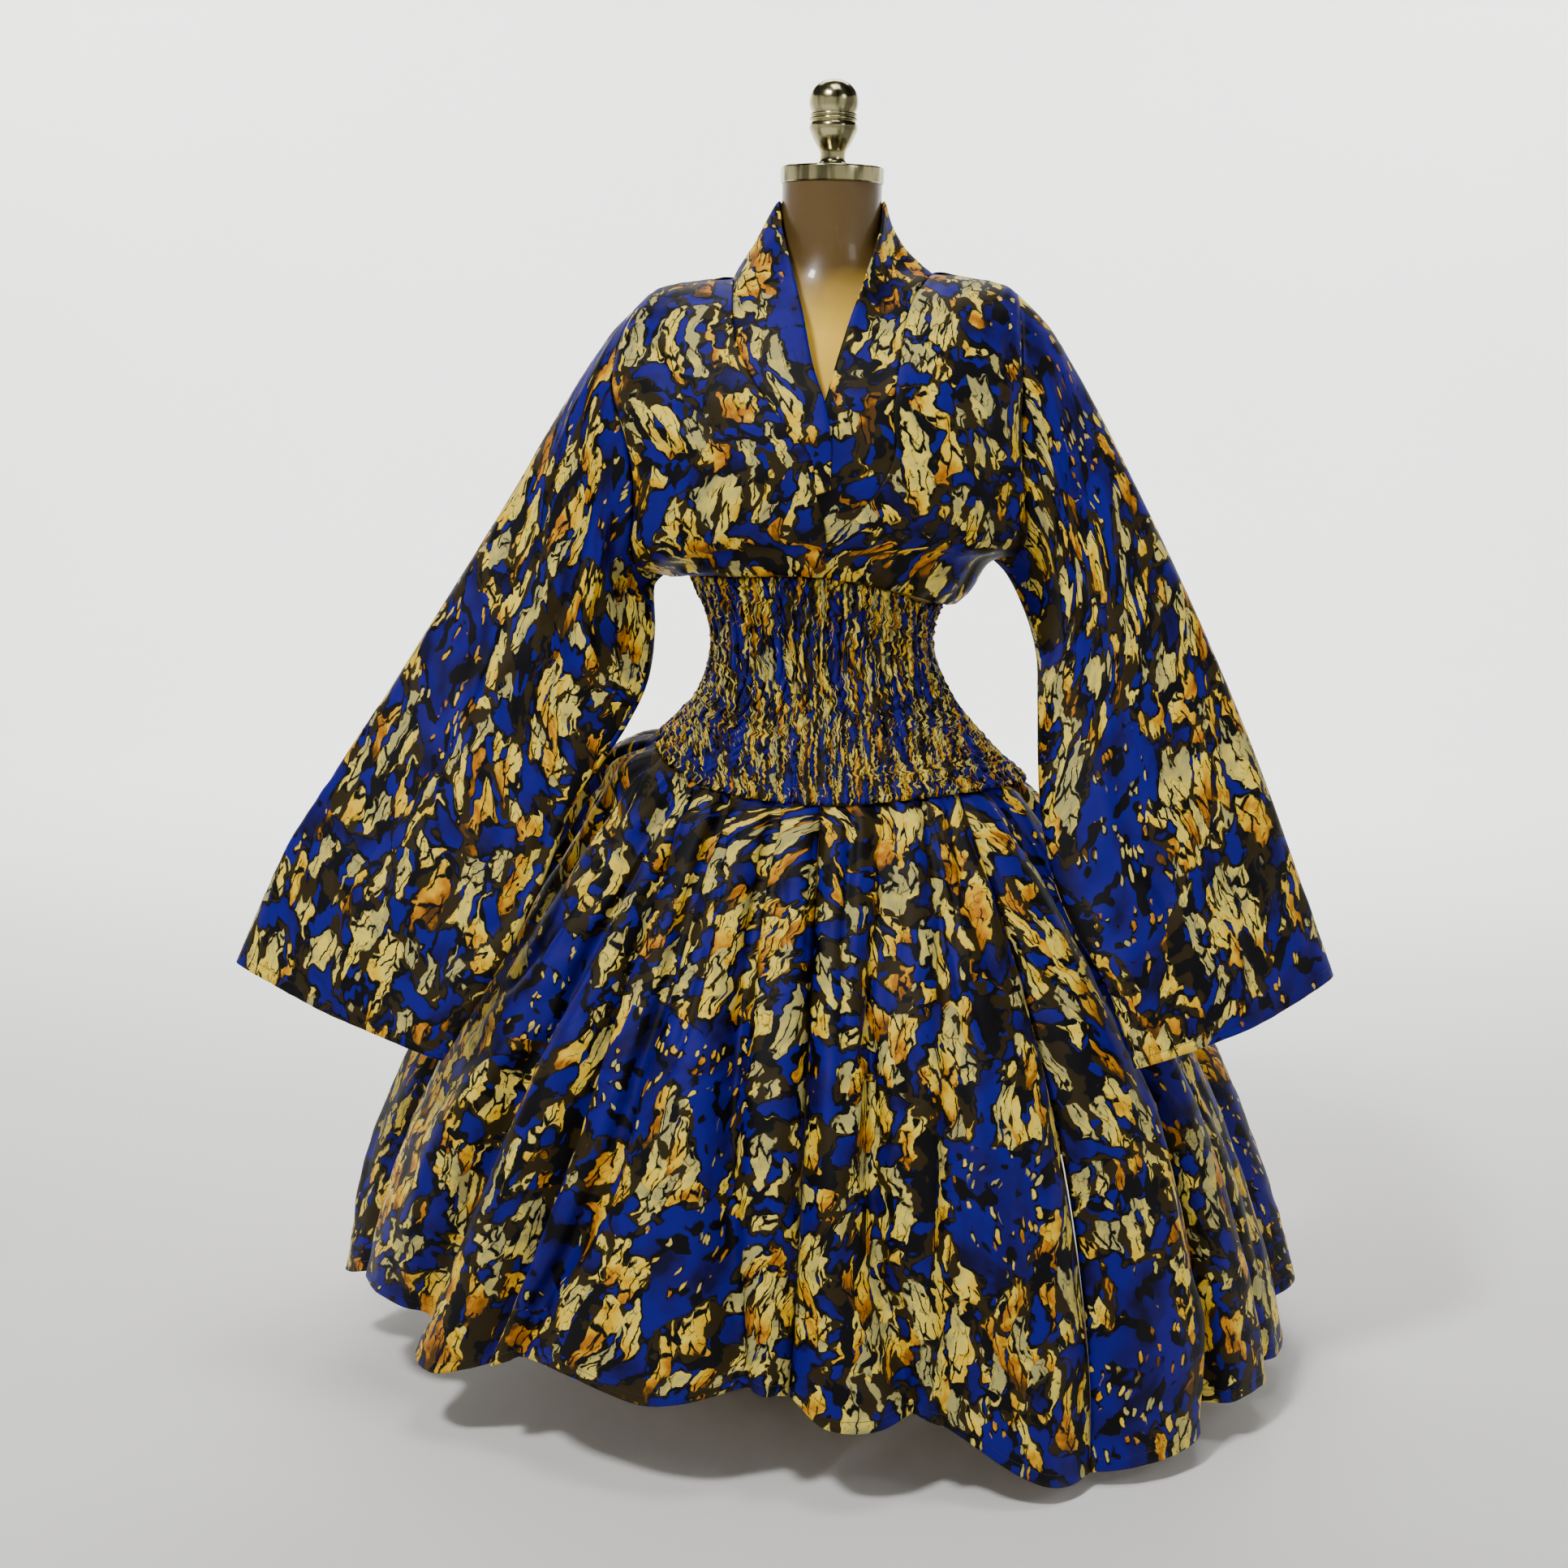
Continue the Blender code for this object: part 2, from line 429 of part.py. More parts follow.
def front_grid(side):
    """Grid of a bodice front: rows from the shoulder to the waist seam, columns from the inner edge outwards."""
    arms = BODICE["right" if side == RIGHT else "left"]
    share = np.linspace(0.0, 1.0, BODICE_GATHERS + 1)
    grid = []
    for down, arm, edge, deep in zip(BODICE["down"], arms, BODICE["edge"], BODICE["front"]):
        inner = side * NECK_POINT[side][0] if down == 0 else front_inner(side, down)
        spread = np.radians(50 + 40 * down)
        x = inner + (side * arm - inner) * np.sin(share * spread) / np.sin(spread)
        q = np.abs(x) / arm
        y = -(edge + (deep - edge) * bulge(q)) if down else np.zeros_like(x)
        grid.append(np.stack([x, y, row_height(side, down, q)], axis=1))
    for size, drop, shown in ((BLOUSE, BLOUSE_DROP[side], 0.7), (BODICE_SEAM, 0.0, 1.0)):
        inner = smooth(FRONT_EDGE[side], "z", 0.82, "x")
        x = inner + (side * size["wide"] - inner) * np.sin(share * np.pi / 2)
        q = np.abs(x) / size["wide"]
        turn = np.degrees(np.arcsin(np.clip(x / size["wide"], -1, 1)))
        seam = seam_height(WAIST_SEAM, turn) + BODICE_LIFT
        draw = np.where(np.arange(BODICE_GATHERS + 1) % 2, 1.0, -1.0) * BODICE_GATHER_DEPTH * shown
        draw *= 1 - q**6
        y = -size["front"] * np.sqrt(np.maximum(1 - q * q, 0.0)) - draw
        y[-1] = 0.0
        rise = BLOUSE_RISE * (1 - q**4) if size is BLOUSE else 0.0
        grid.append(np.stack([x, y, seam - drop * q**4 + rise], axis=1))
    grid = np.array(grid)
    if side == RIGHT:
        grid[1:, :, 1] -= lap(grid[1:, :, 0])
    return grid


def back_grid():
    """Grid of the back: rows from the shoulders and back neck to the waist seam, columns from right to left."""
    shoulder, neck = BACK_COLUMNS["shoulder"], BACK_COLUMNS["neck"]
    grid = []
    rows = list(zip(BODICE["down"], BODICE["right"], BODICE["left"], BODICE["edge_back"], BODICE["back"]))
    for down, right, left, edge, deep in rows + [(2, 0, 0, 0, 0), (3, 0, 0, 0, 0)]:
        row = []
        for side, arm in ((RIGHT, right), (LEFT, left)):
            size = {2: BLOUSE, 3: BODICE_SEAM}.get(down)
            arm = size["wide"] if size else arm
            at_neck = NECK_POINT[side][0] / BODICE["right" if side == RIGHT else "left"][0]
            inside = at_neck * np.sin(np.linspace(0, math.pi / 2, neck + 1))
            outside = at_neck + (1 - at_neck) * np.sin(np.linspace(0, math.pi / 2, shoulder + 1)[1:])
            q = np.concatenate([inside, outside])
            x = side * arm * q
            if size:
                z = seam_height(WAIST_SEAM, side * (180 - np.degrees(np.arcsin(q)))) + BODICE_LIFT
                if size is BLOUSE:
                    z += BLOUSE_RISE * (1 - q**4) - BLOUSE_DROP[side] * q**4
                y = size["back"] * np.sqrt(np.maximum(1 - q * q, 0.0))
            else:
                hollow = BACK_NECK_DEPTH * np.sqrt(np.clip(1 - (q / at_neck) ** 2, 0.0, None))
                full = (edge + (deep - edge) * bulge(q)) if down else np.zeros_like(q)
                y = (hollow**4 + full**4) ** 0.25
                z = row_height(side, down, q)
                z -= (NECK_POINT[side][1] - BACK_NECK_Z) * np.clip(1 - (q / at_neck) ** 2, 0, None) * (1 - down)
            y[-1] = 0.0 if (size or down in (0, 1)) else y[-1]
            row.append(np.stack([x, y, z], axis=1))
        grid.append(np.concatenate([row[0][::-1], row[1][1:]]))
    return np.array(grid)


def chest(side, x, z):
    """Y of a bodice front at a place on the chest."""
    arm = BODICE["right" if side == RIGHT else "left"][5]
    q = min(abs(x) / arm, 1.0)
    ridge, under = row_height(side, 0.0, q), row_height(side, 1.0, q)
    down = min(max((ridge - z) / (ridge - under), 0.0), 1.0)
    edge, deep = smooth(BODICE, "down", down, "edge"), smooth(BODICE, "down", down, "front")
    return -(edge + (deep - edge) * bulge(q))


def band_grid(side, front, back):
    """Grid of half the neckband: rows from its lower end to the centre back, columns from seam to free edge."""
    edge = BAND_EDGE[side]
    seam = [p for p in front[::-1, 0] if p[2] > edge["seam_z"][0]]
    free = []
    for point in seam:
        x, z, deep = (smooth(edge, "seam_z", point[2], name) for name in ("x", "z", "deep"))
        lifted = min(max((z - CHEST_TOP) / (NECK_BASE - CHEST_TOP), 0.0), 1.0)
        on_chest = chest(side, x, z) - (lap(x) if side == RIGHT else 0.0)
        free.append((x, on_chest + lifted * (-deep - on_chest), z))
    neck = BACK_COLUMNS["neck"]
    middle = BACK_COLUMNS["shoulder"] + neck
    for step in range(1, neck + 1):
        seam.append(back[0, middle + side * (neck - step)])
        turn = math.pi / 2 * (1 + step / neck)
        top = edge["z"][-1] + (BAND_TOP_Z - edge["z"][-1]) * step / neck
        free.append((side * BAND_TOP_RADIUS * math.sin(turn), -BAND_TOP_RADIUS * math.cos(turn), top))
    seam, free = np.array(seam), np.array(free)
    shares = np.linspace(0.0, 1.0, BAND_COLUMNS + 1)
    grid = np.stack([seam + share * (free - seam) for share in shares], axis=1)
    hollow = BAND_HOLLOW[side] * np.clip((free[:, 2] - NECK_BASE) / 0.1, 0.0, 1.0)
    hollow[-neck:] *= np.linspace(1 - 1 / neck, 0.0, neck)
    sag = np.outer(hollow, np.sin(np.pi * shares))
    grid[:, :, 0] -= side * 0.82 * sag
    grid[:, :, 2] -= 0.57 * sag
    return grid


def edge_run(side, edge, share):
    """Direction in which one edge of a sleeve runs at a share of its length."""
    ends = [[smooth(SLEEVE[side], "along", at, edge + axis) for axis in "xyz"]
            for at in (max(share - 0.05, 0.0), min(share + 0.05, 1.0))]
    return unit(np.array(ends[1]) - np.array(ends[0]))


def sleeve_ring(side, front, back):
    """Grid of a sleeve from the armhole to the cuff. Its first row is the armhole edge of the bodice itself."""
    rows = len(BODICE["down"])
    column = 0 if side == RIGHT else -1
    edge = np.concatenate([front[:rows, -1], back[rows - 2:0:-1, column]])
    down = np.concatenate([BODICE["down"], BODICE["down"][rows - 2:0:-1]])
    face = np.where(np.arange(len(down)) < rows, 1.0, -1.0)
    round_off = 2 * np.sqrt(down * (1 - down))
    ring = []
    for share in SLEEVE_ROWS:
        ox, oy, oz, ux, uy, uz, thick = (
            smooth(SLEEVE[side], "along", share, name) for name in ("ox", "oy", "oz", "ux", "uy", "uz", "thick"))
        over, under = np.array([ox, oy, oz]), np.array([ux, uy, uz])
        run = unit(edge_run(side, "o", share) + edge_run(side, "u", share))
        facing = unit(np.cross(under - over, run)) * side
        if facing[1] > 0:
            facing = -facing
        waves = SLEEVE_FOLD * min(1.0, 2 * share) * np.sin(down * 13 + 1.5 * share) * np.sin(np.pi * down)
        row = over + np.outer(down, under - over) + np.outer(face * (thick * round_off) + waves, facing)
        row += np.outer(np.sin(np.pi * down) * CUFF_SAG[side] * share**3, run)
        bow = SLEEVE_BOW[side] * math.sin(math.pi * min(share / BOW_END, 1.0)) ** 0.8
        row[:, 0] += side * bow * np.sin(np.pi * down**2.2) ** 0.7
        ring.append(row)
    ring = np.array(ring)
    miss = edge - ring[0]
    for i, share in enumerate(SLEEVE_ROWS):
        fade = max(0.0, 1 - share / ARMHOLE_FADE)
        ring[i] += miss * fade * fade * (3 - 2 * fade)
    out = normals(ring, closed=True)
    if np.dot(out[-1, 5], ring[-1, 5] - ring[-1].mean(axis=0)) < 0:
        out = -out
    return ring, out


def eased(directions, closed=False):
    """Directions along a seam, each one drawn halfway to the mean of its neighbours."""
    before, after = np.roll(directions, 1, axis=0), np.roll(directions, -1, axis=0)
    if not closed:
        before[0], after[-1] = directions[0], directions[-1]
    return unit(2 * directions + before + after)


def pointed(out, axis, sign):
    """The same directions, turned over as a whole where they point the wrong way along an axis."""
    rows, columns = out.shape[:2]
    return out if out[rows // 2, columns // 2, axis] * sign > 0 else -out


def bodice_pieces():
    """Grids and outward directions of the bodice, neckband halves and sleeves, which share their seams."""
    rows, last = len(BODICE["down"]), len(BODICE["down"]) - 1
    neck, middle = BACK_COLUMNS["neck"], BACK_COLUMNS["neck"] + BACK_COLUMNS["shoulder"]
    back = back_grid()
    back_out = pointed(normals(back), 1, 1)
    fronts, front_out, bands, band_out, sleeves, sleeve_out = {}, {}, {}, {}, {}, {}
    for side in (RIGHT, LEFT):
        column = 0 if side == RIGHT else -1
        front = fronts[side] = front_grid(side)
        out = front_out[side] = pointed(normals(front), 1, -1)

        # on the shoulder and the side, front and back are cut square to the plane between them
        slope = np.gradient(front[0, :, 2], front[0, :, 0])
        out[0] = unit(np.stack([-slope, 0 * slope, 0 * slope + 1], axis=1))
        shoulder = slice(0, middle - neck + 1) if side == RIGHT else slice(middle + neck, None)
        slope = np.gradient(back[0, shoulder, 2], back[0, shoulder, 0])
        back_out[0, shoulder] = unit(np.stack([-slope, 0 * slope, 0 * slope + 1], axis=1))
        flat = unit((out[rows:, -1] + back_out[rows:, column]) * (1, 0, 1))
        out[rows:, -1] = back_out[rows:, column] = flat

        ring, ring_out = sleeve_ring(side, front, back)
        back_edge = [0] + [2 * last - row for row in range(1, last)] + [last]
        shared = ring_out[0]
        shared[:rows] += out[:rows, -1]
        shared[rows:] += back_out[last - 1:0:-1, column]
        shared[0], shared[last] = out[0, -1], (0, 0, -1)
        shared = unit(shared)
        ring_out[0] = shared = eased(eased(shared, True), True)
        out[:rows, -1] = shared[:rows]
        back_out[:rows, column] = shared[back_edge]
        round_arm = np.roll(ring[0], -1, axis=0) - np.roll(ring[0], 1, axis=0)
        away = unit(np.cross(round_arm, shared))
        away *= np.sign(away[3, 0] * side) * SEAM / 2
        ring[0] += away

        band = bands[side] = band_grid(side, front, back)
        band_dir = band_out[side] = pointed(normals(band), 1, -1)
        band_dir[-1] = unit(band_dir[-1] * (0, 1, 1))
        inward = unit(band[:, 1] - band[:, 0]) * SEAM / 2
        top = len(band) - neck - 1
        round_neck = [middle + side * (neck - step) for step in range(neck + 1)]
        joined = band_dir[:, 0].copy()
        joined[:top + 1] += out[top::-1, 0]
        joined[top:] += back_out[0, round_neck]
        band_dir[:, 0] = joined = eased(eased(unit(joined)))
        out[top::-1, 0] = joined[:top + 1]
        back_out[0, round_neck] = joined[top:]
        front[top::-1, 0] -= inward[:top + 1]
        for step in range(neck + (side == RIGHT)):
            back[0, middle + side * (neck - step)] -= inward[top + step]
        band[:, 0] += inward
        band[-1, :, 0] += side * SEAM / 2

        front[:rows, -1] -= away[:rows]
        back[:rows, column] -= away[back_edge]
        front[0, :, 1] -= SEAM / 2
        front[last:, -1, 1] -= SEAM / 2
        back[last:, column, 1] += SEAM / 2
        sleeves[side], sleeve_out[side] = ring, ring_out
    back[0, :, 1] += SEAM / 2
    return fronts, front_out, back, back_out, bands, band_out, sleeves, sleeve_out


def build_bodice_and_sleeves(cotton):
    """Bodice, neckband and sleeves."""
    fronts, front_out, back, back_out, bands, band_out, sleeves, sleeve_out = bodice_pieces()
    last = len(BODICE["down"]) - 1
    for side, word in ((RIGHT, "right"), (LEFT, "left")):
        wall(f"bodice_{word}_front", fronts[side], front_out[side], cotton)
        wall(f"neckband_{word}", bands[side], band_out[side], cotton)
        panel(f"sleeve_{word}_front", sleeves[side], sleeve_out[side], 0, last, cotton)
        panel(f"sleeve_{word}_back", sleeves[side], sleeve_out[side], last, 2 * last, cotton)
    wall("bodice_back", back, back_out, cotton)


def build_waist(cotton):
    """Shirred panel round the waist, front and back."""
    ring, out = waist_ring()
    panel("waist_front", ring, out, 0, GATHERS, cotton)
    panel("waist_back", ring, out, GATHERS, 2 * GATHERS, cotton)


def build_skirt(cotton):
    """Skirt panels, seamed at the valleys of folds."""
    ring, out, valleys = skirt_ring()
    valleys.append(ring.shape[1])
    for name, (first, last) in SKIRT_PANELS.items():
        panel(name, ring, out, valleys[first], valleys[last], cotton)


def turned(name, outline, height, segments, paint):
    """Solid of revolution about Z; the outline runs up from the axis and back to it."""
    points = [(0.0, 0.0, height + outline[0][1])]
    rings = outline[1:-1]
    for radius, z in rings:
        for i in range(segments):
            turn = 2 * math.pi * i / segments
            points.append((radius * math.cos(turn), radius * math.sin(turn), height + z))
    points.append((0.0, 0.0, height + outline[-1][1]))
    last = len(points) - 1
    faces = []
    for i in range(segments):
        j = (i + 1) % segments
        faces.append((0, 1 + j, 1 + i))
        for ring in range(len(rings) - 1):
            a, b = 1 + ring * segments, 1 + (ring + 1) * segments
            faces.append((a + i, a + j, b + j, b + i))
        a = 1 + (len(rings) - 1) * segments
        faces.append((a + i, a + j, last))
    return solid(name, points, faces, paint, math.radians(32))


def build_form(moulding):
    """Torso of the form with its neck, one smooth closed body."""
    turns = np.arange(FORM_COLUMNS) * 2 * math.pi / FORM_COLUMNS
    points, faces = [], []
    for z, wide, front, back, power in zip(*FORM.values()):
        x, y = superellipse(turns, wide, front, back, power)
        points += list(zip(x, y, [z] * FORM_COLUMNS))
    rings = len(FORM["z"])
    for ring in range(rings - 1):
        for i in range(FORM_COLUMNS):
            a, b = ring * FORM_COLUMNS + i, ring * FORM_COLUMNS + (i + 1) % FORM_COLUMNS
            faces.append((a, b, b + FORM_COLUMNS, a + FORM_COLUMNS))
    faces.append(tuple(range(FORM_COLUMNS - 1, -1, -1)))
    faces.append(tuple(range((rings - 1) * FORM_COLUMNS, rings * FORM_COLUMNS)))
    return solid("form_torso", points, faces, moulding)


def build_stand(brass, steel):
    """Neck cap, finial, pole and base."""
    turned("form_neck_cap", CAP, CAP_BOTTOM, 36, brass)
    turned("form_finial", FINIAL, FINIAL_BOTTOM, 20, brass)
    turned("stand_base", BASE, 0.0, 40, steel)
    bottom, top = BASE[-1][1] + SEAM, FORM["z"][0] - SEAM
    turned("stand_pole", [(0, bottom), (POLE_RADIUS, bottom), (POLE_RADIUS, top), (0, top)], 0.0, 24, steel)


def main():
    """Clear the scene and build the dress and its form."""
    for thing in list(bpy.data.objects):
        bpy.data.objects.remove(thing)
    cotton = material("printed_cotton", (0.06, 0.06, 0.35), 0.7)
    moulding = material("moulded_torso", (0.62, 0.40, 0.18), 0.22)
    brass = material("brass", (0.80, 0.68, 0.38), 0.2, 1.0)
    steel = material("stand_paint", (0.05, 0.05, 0.05), 0.4)
    build_form(moulding)
    build_stand(brass, steel)
    build_bodice_and_sleeves(cotton)
    build_waist(cotton)
    build_skirt(cotton)


main()
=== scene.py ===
"""Printed cotton kimono dress on its dress form: cloth, stitching, moulded torso, brass and studio.

Metres, +Z up, the wearer's front towards -Y. "Right" and "left" are the wearer's own.
Each piece of cloth is a fine sheet laid over the outer face of its solid, with its own creases.
"""

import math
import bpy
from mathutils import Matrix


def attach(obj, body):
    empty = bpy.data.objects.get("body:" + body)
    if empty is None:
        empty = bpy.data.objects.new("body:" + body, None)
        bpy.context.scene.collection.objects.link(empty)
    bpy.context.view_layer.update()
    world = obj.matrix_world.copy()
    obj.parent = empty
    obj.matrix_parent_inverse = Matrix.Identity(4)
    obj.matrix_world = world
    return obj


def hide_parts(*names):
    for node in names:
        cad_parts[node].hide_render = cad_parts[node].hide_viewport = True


bl_info = {
    "name": "Printed Kimono Dress",
    "version": (1, 0, 0),
    "blender": (4, 5, 0),
    "location": "View3D > Sidebar > Dress",
    "description": "Dresses the solids of a printed kimono dress and its form with cloth, brass and light",
    "category": "Object",
}

from functools import partial

import bmesh
import bpy
import numpy as np
from mathutils import Matrix, Vector

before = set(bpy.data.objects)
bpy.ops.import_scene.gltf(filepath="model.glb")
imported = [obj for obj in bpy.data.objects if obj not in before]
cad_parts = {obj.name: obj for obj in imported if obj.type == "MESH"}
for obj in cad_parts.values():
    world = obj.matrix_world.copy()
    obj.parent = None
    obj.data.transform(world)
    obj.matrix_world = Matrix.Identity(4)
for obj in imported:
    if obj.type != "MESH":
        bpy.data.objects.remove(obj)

SOLID_WALL, SOLID_SLACK = 0.002, 5e-6  # thickness of the cloth solids' walls, and how far it may be off
SOLID_STEPS = 1e5  # to a metre, for points that coincide

SEAM_WIDTH, SEAM_DEPTH = 0.0035, 0.0007  # how a seam draws in the cloth beside it
SEAM_CALM = 0.007  # creases die out within about twice this from a seam
SEAM_ALLOWANCE = 0.006  # cloth that stands inwards at the long seams of the skirt and sleeves
FOLD_WIDTH, FOLD_DEPTH = 0.0022, 0.0011  # how the free edge of the folded neckband rounds off
BAND_LAYERS = 2.2  # the neckband is folded double, with a little air
HEM_DROP, HEM_GAP = 0.012, 0.0019  # depth of a turned hem, and how far its turned part lies behind its face
HEM_ROUND, HEM_STITCHES = 0.12, 0.8  # how far its fold stands out, in rows, and where it is stitched
CREASE_BOW, CREASE_STEEP, CREASE_GENTLE = 0.12, 0.65, 1.25  # bow to its length, and its two sides to its width
RUMPLE_SIZE, RUMPLE_HEIGHT = 0.035, 0.00045  # low waves all over the cloth
RUMPLE_WAVES, RUMPLE_SPREAD = 9, (0.6, 1.9)  # how many, and the spread of their sizes

SKIRT_GATHER, SKIRT_GATHER_DEPTH = 0.046, 0.0125  # distance between the gathers of the skirt, and their depth
SKIRT_GATHER_START, SKIRT_GATHER_END = 0.016, 0.24  # how far down they set in and fade out
SKIRT_GATHER_WIDTH = 0.38  # sine at which their troughs are a third as deep
SKIRT_UNEVEN, SKIRT_SWAY = (1.1, 0.057), (0.25, 0.07)  # how they shift across, and down: in radians, over metres
SKIRT_SWELL = 0.0030  # how far the cloth stands out between them

WAIST_SPACING, WAIST_COLUMNS = 0.0034, 8  # distance between its rows of points, columns to one of the solid's
WAIST_PUFF, WAIST_SINK = 0.0018, 0.0003  # how far the cloth puffs out between rows of elastic, and sinks
PUFF_SIZES, PUFF_COLUMNS = (0.4, 1.3), 9  # least and greatest size of a puff, and its width in columns
WAIST_SHARP = 0.8  # under 1, puffs are full and the creases between them sharp
WAIST_RIDGE = 0.0024  # half the height of its narrow ridges
PRINT_SQUEEZE = 1.8  # the ridges hide cloth, so the print is squeezed by this beyond the fullness

WEAVE = 0.0009  # three times the real distance between threads, so that the weave shows
STITCH_SHOWN, STITCH_LIFT = 0.72, 0.15  # share of a stitch on top of the cloth, and of its thread off it
ELASTIC_STITCH = 2.2  # how much longer the stitches over elastic are

TORSO_RINGS, TORSO_SEGMENTS = 90, 80
SWEEP_RADIUS, SWEEP_BEND, SWEEP_WALL = 4.2, 1.2, 2.0  # flat part of the paper, radius of its bend, wall above
SWEEP_GAP = 0.0005  # how far the paper lies below the base, so that the two don't flicker
AIR_LIGHT = 0.04  # light from all round


def linear(code):
    """Linear colour from an sRGB hex code."""
    parts = [int(code[i:i + 2], 16) / 255 for i in (1, 3, 5)]
    return tuple(c / 12.92 if c <= 0.04045 else ((c + 0.055) / 1.055) ** 2.4 for c in parts)


def number(name, default, description, **settings):
    """Property that holds a number."""
    return bpy.props.FloatProperty(name=name, default=default, description=description, **settings)


def length(name, default, description, low=0.0):
    """Property that holds a size in metres."""
    return number(name, default, description, min=low, precision=5, unit="LENGTH", subtype="DISTANCE")


def colour(name, code, description):
    """Property that holds a colour, given as an sRGB hex code."""
    return bpy.props.FloatVectorProperty(name=name, default=linear(code), size=3, min=0.0, max=1.0,
                                         subtype="COLOR", description=description)


class DressCloth(bpy.types.PropertyGroup):
    """Sizes and colours of the printed cotton."""

    thickness: length("Thickness", 0.0008, "Thickness of a single layer, a little over the real 0.3 mm")
    spacing: length("Mesh spacing", 0.0058, "Distance between the points of a cloth sheet")
    crease: number("Creases", 1.35, "Height of the creases, as a share of their hand-set heights", min=0.0, max=3.0)
    fullness: number("Gathering", 1.9, "Cloth drawn into the waist, as a multiple of its width", min=1.0, max=4.0)
    gather: length("Gathers", 0.0080, "Distance between the small ridges of the gathered waist")
    elastic: length("Elastic rows", 0.0100, "Distance between the rows of elastic thread in the waist")
    stitch: length("Stitch", 0.0030, "Length from one stitch to the next")
    thread: length("Thread", 0.0005, "Thickness of the sewing thread")
    cluster: length("Group height", 0.112, "Distance between groups of leaves in the print")
    leaf_length: length("Leaf length", 0.070, "Length of a leaf in the print")
    leaf_width: length("Leaf width", 0.0255, "Width of a leaf in the print")
    blue: colour("Blue", "#14057A", "Ground of the print")
    deep_blue: colour("Deep blue", "#070330", "Darker dye in the ground")
    navy: colour("Navy", "#020206", "Outlines and blots")
    olive: colour("Olive brown", "#2B2107", "Halo round the leaves")
    cream: colour("Cream", "#F7DC54", "Tips of the leaves")
    straw: colour("Straw", "#F0C012", "Yellow leaves")
    ochre: colour("Ochre", "#C67C04", "Feet of the leaves")
    rust: colour("Rust", "#54350B", "Darkest leaves and cracks")
    stone: colour("Stone", "#B0A766", "Greyer leaves")


class DressFormLook(bpy.types.PropertyGroup):
    """Colours of the dress form and its stand."""

    # the chest colour is a painted highlight, and the neck colour holds painted dark reflection over the lacquer's
    # brown
    chest_highlight: colour("Chest", "#FFCE46", "Lacquer of the chest")
    neck: colour("Neck", "#604A26", "Lacquer of the neck")
    brass: colour("Brass", "#B9B184", "Polished brass of the cap and finial")
    stand: colour("Stand", "#1C1B1A", "Powder coat of the pole and base")


class DressStudio(bpy.types.PropertyGroup):
    """Camera and light."""

    floor: colour("Floor", "#F7F6F4", "Paper sweep under and behind the dress")
    distance: length("Camera distance", 2.3, "From the camera to the dress's axis")
    height: length("Camera height", 1.0, "Height of the lens")
    offset: length("Camera offset", -0.035, "How far the camera stands towards the wearer's left", -5.0)
    tilt: number("Tilt", math.radians(-9.95), "How far the camera looks up, or down where negative", subtype="ANGLE")
    roll: number("Roll", math.radians(1.2), "How far the camera leans", subtype="ANGLE")
    lens: number("Lens", 52.17, "Focal length in millimetres", min=1.0, subtype="DISTANCE_CAMERA")


SETTINGS = {"dress_cloth": DressCloth, "dress_form_look": DressFormLook, "dress_studio": DressStudio}


# Reading the solids

def spline_weights(knots, at):
    """Matrix that takes values at the knots to values of a smooth curve through them."""
    ends = np.eye(len(knots))
    slopes = np.gradient(ends, knots, axis=0)
    i = np.clip(np.searchsorted(knots, at, side="right") - 1, 0, len(knots) - 2)
    width = (knots[i + 1] - knots[i])[:, None]
    f = ((at - knots[i]) / width[:, 0])[:, None]
    here = (1 + 2 * f) * (1 - f) ** 2 * ends[i] + width * f * (1 - f) ** 2 * slopes[i]
    return here + f * f * (3 - 2 * f) * ends[i + 1] + width * f * f * (f - 1) * slopes[i + 1]


def joined_mesh(node):
    """Points and triangles of a solid, with the points that coincide made one."""
    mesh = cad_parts[node].data
    mesh.calc_loop_triangles()
    places = np.array([vertex.co[:] for vertex in mesh.vertices])
    triangles = np.array([triangle.vertices[:] for triangle in mesh.loop_triangles])
    _, first, same = np.unique(np.round(places * SOLID_STEPS), axis=0, return_index=True, return_inverse=True)
    return places[first], same.reshape(-1)[triangles]


def face_triangles(points, triangles, outward):
    """Triangles of the outer face of a wall: what is left without its rim, on the side that faces outward."""
    edges = points[np.roll(triangles, -1, axis=1)] - points[triangles]
    rim = np.any(np.abs(np.linalg.norm(edges, axis=2) - SOLID_WALL) < SOLID_SLACK, axis=1)
    group = np.arange(len(points))
    faces = triangles[~rim]
    changed = True
    while changed:
        low = group[faces].min(axis=1)
        before = group.copy()
        for corner in range(3):
            np.minimum.at(group, faces[:, corner], low)
        changed = not np.array_equal(before, group)
    sides = [faces[group[faces[:, 0]] == name] for name in np.unique(group[faces[:, 0]])]
    sides = sorted(sides, key=len)[-2:]
    pull = [np.cross(b - a, c - a).sum(axis=0) @ np.array(outward) for a, b, c in (points[side.T] for side in sides)]
    return sides[int(np.argmax(pull))]


